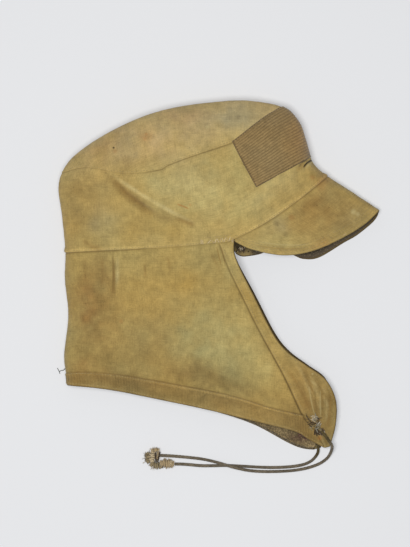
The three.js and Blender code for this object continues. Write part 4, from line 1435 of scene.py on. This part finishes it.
def fuzz(strands, centre, half, count, tints, length, random):
    """Short frayed fibres that stand off a lump."""
    for _ in range(count):
        outward = random.normal(0, 1, 3)
        outward[2] = abs(outward[2])
        outward /= np.linalg.norm(outward)
        curl = np.linspace(0, 1, 5)[:, None]
        swing = random.normal(0, 0.5 * length, (2, 3))
        start = np.array(centre) + outward * np.array(half) * 0.93
        path = start + outward * 0.55 * length * curl + swing[0] * curl**2 + swing[1] * np.sin(3 * curl)
        tint = YARNS[tints[random.integers(len(tints))]]
        strands.add(path, random.uniform(0.1, 0.22) * (1.2 - 0.8 * curl[:, 0]), tint, 4)


def lashing(strands, lash):
    """A dark cord bound over the top of a knot."""
    thick = 0.85
    t = np.linspace(0, 1, 12)[:, None]
    start = np.array([lash["x0"], lash["y0"], lash["z"]])
    path = start + t * (np.array([lash["x1"], lash["y1"], lash["z"]]) - start)
    path[:, 2] += lash["bulge"] * np.sqrt(np.maximum(0, 1 - (2 * t[:, 0] - 1) ** 2))
    strands.add(path, thick, YARNS["dark"], 8)


# How the fibres of a lump stand off: of a frayed one, and of a whole one
FRAYED = {"count": 90, "tints": ["olive", "dark", "tan"], "length": 2.2}
WHOLE = {"count": 50, "tints": ["cream", "tan", "white"], "length": 1.3}


def end_knot(name, seed):
    """A knot at a cord's end, wound over with pale yarn, lashed and frayed."""
    random = np.random.default_rng(seed)
    strands = Strands()
    for lump in [row for row in KNOTS if row["knot"] == name]:
        wound_lump(strands, lump, random)
        centre = [lump[k] for k in "xyz"]
        half = [lump["half_x"], lump["half_y"], lump["half_z"]]
        if half[0] >= half[1] and abs(lump["turn"]) >= 45:
            half = [half[1], half[0], half[2]]
        fibres = FRAYED if lump["tint"] == "mixed" else WHOLE
        fuzz(strands, centre, half, random=random, **fibres)
    for row in LASHINGS:
        if row["knot"] == name:
            lashing(strands, row)
    return strands.build(f"end_knot_{name}", MATERIALS["yarn"])


def cords():
    """The two free ends of the drawcord, with their knots."""
    knots = {"right": end_knot("right", 4), "left": end_knot("left", 8)}
    for name, knot in knots.items():
        place_piece(knot, f"end_knot_{name}")
    for name, rows, seed in (("right", RIGHT_CORD, 5), ("left", LEFT_CORD, 6)):
        obj, path, length = braided_cord(f"drawcord_{name}", rows, seed)
        [tuple(p * MM) for p in path]


# How far the cloth is drawn in at the fold, so that its outer face follows the photographed outline
FOLD_INSET = 0.9
FOLD_DRAWN_IN = named(
    "x y half_x half_y depth",
    (-68, 168, 62, 30, 1.5),
    (84, 154, 22, 24, 1.5),
    (156, 80, 11, 11, 1.1),
)
PATCH_INSET = 1.9


def fold_inset(panel, depth=FOLD_INSET, drawn_in=FOLD_DRAWN_IN):
    """How far the cloth is drawn in at each point: all of it on the fold, and none on the flat walls."""
    x, y = panel.xy[..., 0], panel.xy[..., 1]
    for d in drawn_in:
        far = ((x - d["x"]) / d["half_x"]) ** 4 + ((y - d["y"]) / d["half_y"]) ** 4
        depth = depth + d["depth"] * np.exp(-far)
    return depth * (1 - np.abs(panel.out[..., 2])) ** 2


LEFT_STAINS = 0.35  # the share of the stains that the left side takes


def canvas(name, panel, kinds, rise=0.0, base=CLOTH_COLOUR, shade_and_dirt=0.0):
    """A finished canvas piece: crumpled, with its seams and stains, and painted shade and highlight that
    follow its relief.
    """
    edge_rise, soil_and_shade, wear_and_highlight = seams(panel, kinds)
    relief = crumple(panel) + rise
    total = relief + edge_rise - fold_inset(panel)
    points = panel.point + panel.out * total[..., None]
    tint = stained(panel, base, LEFT_STAINS + (1 - LEFT_STAINS) * half_of(panel))
    # painted shade and highlight: darker where the cloth lies low, lighter where it stands high, paler on
    # seam ridges
    tint = tint * (1 + np.clip(0.07 * relief, -0.2, 0.12) + 0.32 * wear_and_highlight)[..., None]
    obj = shell(name, panel, points, CANVAS, MATERIALS["canvas"], tint, np.clip(soil_and_shade + shade_and_dirt, 0, 1))
    place_piece(obj, name)


def top_shape(side):
    """The crown's top panel, whose two far corners are pointed."""
    seam = LINES[side]["top_seam"]
    tips = [lambda t, end=end: seam.at(end + 0 * np.asarray(t)) for end in (0.0, 1.0)]
    return trimmed(blended(FOLD_TRACK.part("top_seam_back", "top_seam_front"), seam.part(), *tips))


# The edges of each shape, as stretches of the outlines: two that run one way, then the two that join their
# ends. None stands for a straight edge.
EDGES = {
    "crown_side": (
        "fold flap_seam top_seam_back",
        "fold peak_seam top_seam_front",
        "base",
        "top_seam",
    ),
    "crown_lining": (
        "fold flap_seam top_seam_back",
        "fold peak_seam top_seam_front",
        "base",
        "fold top_seam_back top_seam_front",
    ),
    "patch": ("fold patch_top patch_bottom", "patch_back", "patch_top", "patch_lower"),
    "peak": ("fold peak_seam tip", None, "base front ear", "peak_edge"),
    "neck_flap": ("fold flap_seam band", "facing_seam crown band", "base back facing", "band_seam"),
    "face_facing": ("facing_seam", "face_edge", "base facing ear", None),
    "hem_band": ("fold band hem", "facing_seam band chin", "band_seam", "hem"),
    "flap_lining": ("fold flap_seam hem", "face_edge", "base back ear", "hem"),
}


def shape_of(name, side):
    """The shape of a piece on one side, between its edges."""

    def stretch(line, *names):
        track = FOLD_TRACK if line == "fold" else LINES[side][line]
        return track.part(*names)

    near, far, start, end = [edge and stretch(*edge.split()) for edge in EDGES[name]]
    far = far or straight(start(1.0), end(1.0))
    end = end or straight(near(1.0), far(1.0))
    return blended(near, far, start, end)


SIDES = {"right": 1, "left": -1}


# How fine each piece's grid is. The left halves of the canvas, which hardly show, are coarser.
STEP = {
    "crown_top": 1.5,
    "crown_side_right": 1.25,
    "crown_side_left": 2.4,
    "crown_lining": 2.6,
    "front_patch": 0.7,
    "peak_cover": 1.5,
    "peak_lining": 2.2,
    "neck_flap_right": 1.6,
    "neck_flap_left": 3.0,
    "face_facing_right": 1.4,
    "face_facing_left": 2.0,
    "hem_band": 1.05,
    "flap_lining_right": 2.7,
    "flap_lining_left": 1.9,
}


def crown():
    """The lens-shaped top, folded over the middle line, and the band round the crown in two halves."""
    top = folded(top_shape, STEP["crown_top"], "W")
    canvas("crown_top", top, {"W": "groove top"})
    for name, s in SIDES.items():
        node = f"crown_side_{name}"
        panel = Panel(shape_of("crown_side", s), s, STEP[node], fine="uUb", tuck="U")
        canvas(node, panel, {"u": "over base", "U": "under top", "w": "fold", "W": "fold"})


def peak():
    """The peak, folded over its ridge, and its underside, which turns pale towards the ear and carries
    painted shade deeper under the cover.
    """
    cover = folded(lambda side: shape_of("peak", side), STEP["peak_cover"], "uUW", "u")
    # painted shadow on the lower half near its free edge, where the upper half's edge shades it
    shade_and_dirt = 0.75 * (1 - half_of(cover)) * bell(cover.edge["U"], 3)
    canvas("peak_cover", cover, {"u": "under base", "U": "free"}, shade_and_dirt=shade_and_dirt)
    panel = folded(lambda side: inset(shape_of("peak", side), 0.982), STEP["peak_lining"], "")
    points = panel.point + panel.out * (PEAK_LINING_LIFT - fold_inset(panel))[..., None]
    turning_from, turning_over = 38, 8
    turning = smooth((turning_from - panel.xy[..., 0]) / turning_over)[..., None]
    # painted shade: the underside darkens away from its free edge, deeper under the cover
    shade = 0.22 + 0.78 * bell(panel.edge["U"], 5.5)
    tint = mixed(UNDERSIDE_COLOUR, TURNING_COLOUR, turning) * shade[..., None]
    soil_and_shade = np.zeros(panel.xy.shape[:2])
    obj = shell("peak_lining", panel, points, PEAK_LINING, MATERIALS["dark_lining"], tint, soil_and_shade, bulge=0)
    place_piece(obj, "peak_lining")


def inset(shape, share):
    """A shape that stops short of its far edge, so that the rim of the cloth over it shows."""
    return lambda a, b: shape(np.asarray(a) * share, b)


def trimmed(shape, share=0.002):
    """A shape whose two pointed ends are cut a little short."""
    return lambda a, b: shape(share + (1 - 2 * share) * np.asarray(a), b)


def flap():
    """The long flap round the ears and neck, and the strips along the face opening."""
    for name, s in SIDES.items():
        node = f"neck_flap_{name}"
        panel = Panel(shape_of("neck_flap", s), s, STEP[node], tuck="uUW")
        kinds = {"u": "under base", "U": "under band", "w": "fold", "W": "under facing"}
        canvas(node, panel, kinds, base=FLAP_COLOUR)
        node = f"face_facing_{name}"
        panel = Panel(shape_of("face_facing", s), s, STEP[node], tuck="u")
        kinds = {"u": "under", "w": "dark facing", "W": "dingy"}
        canvas(node, panel, kinds, base=CLOTH_COLOUR if s > 0 else LEFT_FACING_SHADED_COLOUR)


def gathers(panel):
    """The hem band's fine gathers, which are drawn up by the cord inside it."""
    pitch = 3.1
    along = panel.cloth[..., 0]
    wander = 2.2 * noise(along, 0 * along, cell=15, seed=7)
    depth = 0.6 + 0.4 * noise(along, 0 * along, cell=9, seed=8)
    folds = np.sin(2 * math.pi * (along + wander) / pitch) * depth
    belly = np.clip(panel.edge["u"] / 2, 0, 1) * np.clip(panel.edge["U"] / 2, 0, 1)
    return belly, folds


def hem():
    """The gathered casing along the lower edge, folded round the back."""
    band = folded(lambda side: shape_of("hem_band", side), STEP["hem_band"], "uUW")
    belly, folds = gathers(band)
    right = half_of(band)
    rise = belly * (0.5 * right + 0.5 * folds * (0.3 + 0.7 * right))
    back = smooth((-70 - band.xy[..., 0]) / 50)
    # painted shade in the valleys of the gathers, stronger towards the back
    shade_and_dirt = 0.5 * belly * np.clip(-folds, 0, 1) * (0.35 + 0.65 * back)
    kinds = {"u": "over band", "U": "dingy", "W": "under"}
    canvas("hem_band", band, kinds, rise=rise, base=HEM_COLOUR, shade_and_dirt=shade_and_dirt)


def patch():
    """The corduroy patch, with a rib every 3 mm along its top and lower edges."""
    pitch = 3.0
    panel = folded(lambda side: shape_of("patch", side), STEP["front_patch"], "uUW")
    x, y = panel.xy[..., 0], panel.xy[..., 1]
    u, v = panel.cloth[..., 0], panel.cloth[..., 1]
    rib = np.abs(np.sin(math.pi * v / pitch + 0.5 * noise(u, v, cell=20, seed=3)))
    worn = 0.75 + 0.25 * rough(x, y, cell=14, seed=15)
    edge = np.minimum.reduce([panel.edge["u"], panel.edge["U"], panel.edge["W"]])
    relief = 0.55 * (rib**0.8 - 0.6) * worn * (0.35 + 0.65 * smooth(edge / 2.5))
    rise = PATCH_LIFT + relief - 0.9 * bell(edge, 0.8)
    rise = rise + half_of(panel) * 0.35 * rough(x, y, cell=22, seed=5)
    rise = rise - fold_inset(panel, PATCH_INSET, ())
    points = panel.point + panel.out * rise[..., None]
    tint = stained(panel, PATCH_COLOUR, np.zeros(x.shape))
    tint = mixed(tint, PATCH_RUST_COLOUR, 0.6 * spot(PATCH_RUST, x, y)[..., None])
    # rib tops lighter from wear and valleys darker as painted shade
    tint = tint * (0.82 + 0.28 * rib)[..., None]
    # darker in the valleys and along the edges: painted shade, with the dark turned edge
    soil_and_shade = 0.4 * (1 - rib) ** 2 * (0.7 + 0.3 * worn) + 0.5 * bell(edge, 0.9)
    obj = shell("front_patch", panel, points, PATCH, MATERIALS["corduroy"], tint, np.clip(soil_and_shade, 0, 1))
    place_piece(obj, "front_patch")


def pile(name, shape, side, lift, level, step):
    """A lining of curly pile."""
    panel = Panel(shape, side, step, level=level, fine="")
    u, v = panel.cloth[..., 0], panel.cloth[..., 1]
    curls = 0.45 * noise(u, v, cell=2.3, seed=5) + 0.35 * noise(u + 9, v, cell=1.3, seed=6)
    curls = curls + 0.3 * rough(u, v, cell=9, seed=7)
    calm = smooth(panel.edge["w"] / 8)
    points = panel.point + panel.out * (lift - curls * calm)[..., None]
    shade = 0.85 + 0.35 * rough(u, v, cell=14, seed=11) + 0.25 * noise(u, v, cell=2.1, seed=13)
    tint = np.array(PILE_COLOUR) * np.clip(shade, 0.3, 1.7)[..., None]
    stain = spot(PILE_STAIN, panel.xy[..., 0], panel.xy[..., 1])
    stain = (stain * np.clip(0.6 + noise(u, v, cell=2.6, seed=19), 0, 1))[..., None]
    tint = mixed(tint, PILE_STAIN_COLOUR, stain)
    soil_and_shade = np.zeros(panel.xy.shape[:2])
    obj = shell(name, panel, points, PILE, MATERIALS["pile"], tint, soil_and_shade)
    place_piece(obj, name)


def linings():
    """The pile inside the crown and inside the flap, each in two halves."""
    for name, s in SIDES.items():
        level = crown_lining_level if s > 0 else None
        crown_shape = shape_of("crown_lining", s)
        pile(f"crown_lining_{name}", crown_shape, s, CROWN_PILE_LIFT, level, STEP["crown_lining"])
        node = f"flap_lining_{name}"
        pile(node, inset(shape_of("flap_lining", s), 0.995), s, PILE_LIFT, None, STEP[node])


# Rows of stitches: the edge each follows, how far in, and the thread
STITCHES = named(
    "piece edge distance thread length gap",
    ("crown_top", "W", 1.5, "stitch", 2.0, 1.2),
    ("crown_side_right", "u", 1.7, "stitch", 2.2, 1.0),
    ("crown_side_left", "u", 1.7, "stitch", 2.2, 1.0),
    ("face_facing_right", "w", 2.4, "stitch", 2.0, 1.2),
    ("face_facing_left", "w", 2.4, "stitch", 2.0, 1.2),
    ("face_facing_right", "W", 2.6, "stitch", 2.0, 1.4),
    ("face_facing_left", "W", 2.6, "stitch", 2.0, 1.4),
    ("hem_band", "u", 1.4, "stitch", 2.2, 0.9),
    ("hem_band", "U", 2.4, "stitch", 2.2, 1.2),
    ("peak_cover", "U", 2.2, "stitch", 2.2, 1.1),
    ("peak_cover", "U", 5.6, "stitch", 2.4, 1.0),
    ("peak_cover", "U", 9.4, "stitch", 2.4, 1.0),
    ("front_patch", "u", 1.3, "brown", 1.9, 1.3),
    ("front_patch", "U", 1.2, "brown", 1.9, 1.3),
    ("front_patch", "W", 1.1, "brown", 2.1, 0.9),
)


def beside(name, edge, distance):
    """Lines on a cloth at one distance from an edge, one for each stretch of that edge."""
    panel, points, normal, _ = CLOTHS[name]
    grid = np.concatenate([points, normal], axis=-1)
    away = panel.edge[edge]
    if edge in "uU":
        grids = [(away.T, grid.transpose(1, 0, 2))]
    elif panel.side:
        grids = [(away, grid)]
    else:
        k = panel.fold_column
        grids = [(away[:, :k], grid[:, :k]), (away[:, k:], grid[:, k:])]
    for far, rows in grids:
        line = []
        for d, row in zip(far, rows):
            order = np.argsort(d)
            if d[order[-1]] > distance:
                line.append([np.interp(distance, d[order], row[order, k]) for k in range(6)])
        yield np.array(line)


def stitch_row(strands, line, colour, length, gap, random):
    """Stitches along a line: each a short thread whose ends dip into the cloth."""
    thick, worn_through = 0.27, 0.06
    lift = np.array([-0.3, 0.12, 0.22, 0.12, -0.3])
    run = runs_of(line[:, :3])
    for start in np.arange(gap, run[-1] - length, length + gap):
        if random.random() < worn_through:
            continue
        s = start + np.linspace(0, 1, len(lift)) * length * random.uniform(0.85, 1.05)
        p = np.stack([np.interp(s, run, line[:, k]) for k in range(6)], axis=1)
        sideways = np.cross(p[0, 3:], p[-1, :3] - p[0, :3])
        sideways *= random.normal(0, 0.12) / max(np.linalg.norm(sideways), 1e-6)
        path = p[:, :3] + p[:, 3:] * lift[:, None] + sideways
        strands.add(path, thick, colour * random.uniform(0.75, 1.15))


def stitches():
    """The machine stitching, one joined piece for each cloth."""
    random = np.random.default_rng(12)
    for name in dict.fromkeys(row["piece"] for row in STITCHES):
        strands = Strands()
        for row in STITCHES:
            if row["piece"] != name:
                continue
            for line in beside(name, row["edge"], row["distance"]):
                colour = np.array(YARNS[row["thread"]])
                stitch_row(strands, line, colour, row["length"], row["gap"], random)
        place_piece(strands.build(f"stitches_{name}", MATERIALS["thread"]))


class Surface:
    """Finds the height of the finished right side under a point of the plan."""

    def __init__(self, *names):
        self.trees = []
        for name in names:
            _, _, _, cloth = CLOTHS[name]
            mesh = cloth.data
            vertices = [v.co.copy() for v in mesh.vertices]
            self.trees.append(BVHTree.FromPolygons(vertices, [tuple(p.vertices) for p in mesh.polygons]))

    def height(self, x, y):
        above = 0.2
        start, down = Vector((x * MM, y * MM, above)), Vector((0, 0, -1))
        hits = [tree.ray_cast(start, down)[0] for tree in self.trees]
        return max((hit.z / MM for hit in hits if hit), default=0.0)


# Loose and darning threads on the right side: clusters in plan, each of many short lengths
TANGLES = named(
    "x y half_x half_y count length thick lift threads",
    (102.0, -160.0, 4.4, 5.0, 16, 3.0, 0.5, 0.2, ("dark", "brown", "olive")),
    (97.5, -156.2, 3.2, 2.6, 24, 2.6, 0.5, 0.3, ("dark", "brown")),
    (104.5, -153.0, 1.6, 2.6, 8, 2.6, 0.4, 0.5, ("dark", "brown")),
    (100.6, -151.4, 3.0, 3.6, 32, 3.6, 0.36, 0.9, ("white", "grey", "cream", "olive")),
    (23.0, 29.0, 5.4, 3.0, 60, 2.2, 0.5, 0.3, ("dark", "brown", "dark")),
    (24.0, 28.6, 5.4, 2.6, 14, 1.2, 0.45, 0.9, ("cream", "white")),
    (34.0, 25.4, 5.0, 1.0, 9, 1.1, 0.35, 0.4, ("dark", "brown")),
    (105.0, -157.0, 2.8, 3.4, 18, 3.4, 0.42, 1.0, ("grey", "olive", "white", "brown")),
    (98.0, -160.5, 2.6, 2.0, 7, 3.0, 0.4, 0.3, ("mixed", "stitch")),
    (110.4, -165.6, 1.6, 1.0, 5, 1.8, 0.36, 1.8, ("white", "cream")),
    (104.0, -165.5, 4.0, 3.0, 30, 4.2, 0.62, 0.9, ("plum", "dark", "brown", "grey")),
    (109.5, -165.5, 2.8, 2.8, 16, 3.6, 0.6, 1.2, ("plum", "olive", "brown")),
    (92.6, -150.6, 2.2, 2.0, 8, 2.8, 0.36, 0.3, ("dark", "brown")),
    (13.4, 37.5, 1.6, 2.8, 6, 2.6, 0.28, 0.3, ("cream", "tan")),
)
# Hand stitches laid one by one: bars where the seams meet, and a few loose ends
BARS = named(
    "x0 y0 x1 y1 thick thread",
    (-19.5, 34.0, -19.5, 38.2, 0.4, "cream"),
    (-17.5, 33.8, -17.8, 37.6, 0.34, "cream"),
    (-12.6, 34.4, -9.4, 37.8, 0.34, "cream"),
    (-8.6, 38.2, -5.8, 34.2, 0.32, "tan"),
    (-5.0, 35.0, -3.4, 39.2, 0.38, "cream"),
    (-2.6, 39.4, -0.8, 35.4, 0.32, "cream"),
    (0.2, 35.8, 1.6, 40.0, 0.36, "tan"),
    (2.6, 40.2, 3.8, 36.0, 0.32, "cream"),
    (4.8, 36.2, 6.4, 40.6, 0.36, "cream"),
    (7.4, 40.8, 9.0, 36.6, 0.34, "tan"),
    (10.0, 37.0, 11.2, 41.2, 0.38, "cream"),
    (-15.0, 40.0, -9.0, 40.6, 0.26, "stitch"),
    (-6.0, 41.0, 2.0, 42.0, 0.26, "stitch"),
    (4.0, 42.4, 12.0, 43.6, 0.26, "stitch"),
    (131.4, 43.2, 134.0, 44.8, 0.4, "tan"),
    (24.6, 117.0, 28.6, 116.2, 0.3, "dark"),
)


def tangle(strands, c, cloth, random):
    """One cluster of short threads. Those that would hang over the edge are left out."""
    spread, room = 0.45, 1
    around = ((-room, 0), (room, 0), (0, -room), (0, room))
    for _ in range(c["count"]):
        x, y = random.normal((c["x"], c["y"]), (spread * c["half_x"], spread * c["half_y"]))
        if not all(cloth.height(x + dx, y + dy) for dx, dy in around):
            continue
        turn = random.uniform(0, 2 * math.pi)
        bend = random.normal(0, 1.2)
        t = np.linspace(-0.5, 0.5, 7) * c["length"] * random.uniform(0.5, 1.2)
        px = x + t * math.cos(turn) - bend * np.sin(t) * math.sin(turn)
        py = y + t * math.sin(turn) + bend * np.sin(t) * math.cos(turn)
        z = cloth.height(x, y) + c["lift"] * random.uniform(0.2, 1.4) - 0.08 * t**2
        colour = np.array(YARNS[c["threads"][random.integers(len(c["threads"]))]])
        path = np.stack([px, py, z], axis=1)
        strands.add(path, c["thick"] * random.uniform(0.6, 1.1), colour * random.uniform(0.7, 1.15))


def bar(strands, b, cloth):
    """One hand stitch, arched over the cloth with its ends in it."""
    arch, sunk = 0.45, 0.1
    t = np.linspace(0, 1, 6)
    x, y = b["x0"] + (b["x1"] - b["x0"]) * t, b["y0"] + (b["y1"] - b["y0"]) * t
    z = [cloth.height(*p) for p in zip(x, y)] + arch * np.sin(math.pi * t) - sunk
    strands.add(np.stack([x, y, z], axis=1), b["thick"], YARNS[b["thread"]])


def threads_and_darns():
    """The darned tangle at the chin and the hand stitches, laid on the finished cloth."""
    random = np.random.default_rng(21)
    halves = [f"{name}_right" for name in ("face_facing", "neck_flap", "crown_side")]
    cloth = Surface(*halves, "hem_band", "peak_cover", "peak_lining")
    strands = Strands()
    for row in TANGLES:
        tangle(strands, row, cloth, random)
    for row in BARS:
        bar(strands, row, cloth)
    place_piece(strands.build("darning_threads", MATERIALS["thread"]))


# A torn thread that hangs from the back edge to the surface
TORN_THREAD = (
    ((-162, -97.9, 9), (-164.4, -98.6, 6), (-166.2, -100.4, 2), (-168.2, -100.6, 0.5), (-170.4, -101.6, 0.5)),
    ((-169.9, -104.2, 0.5), (-170.5, -102.2, 0.5), (-171.5, -100.2, 0.5), (-172.8, -98, 0.5)),
)


def torn_thread():
    step, thick = 0.7, 0.42
    strands = Strands()
    for points in TORN_THREAD:
        rows = [dict(zip("xyz", p)) for p in points]
        strands.add(cord_path(rows, step)[0], thick, YARNS["ash"])
    place_piece(strands.build("torn_thread", MATERIALS["thread"]))


camera()
studio()
cords()
crown()
patch()
peak()
flap()
hem()
linings()
stitches()
threads_and_darns()
torn_thread()

boxes = {"cad": CAD_BOX, "visual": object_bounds()}
{k: [list(map(float, corner)) for corner in box] for k, box in boxes.items()}
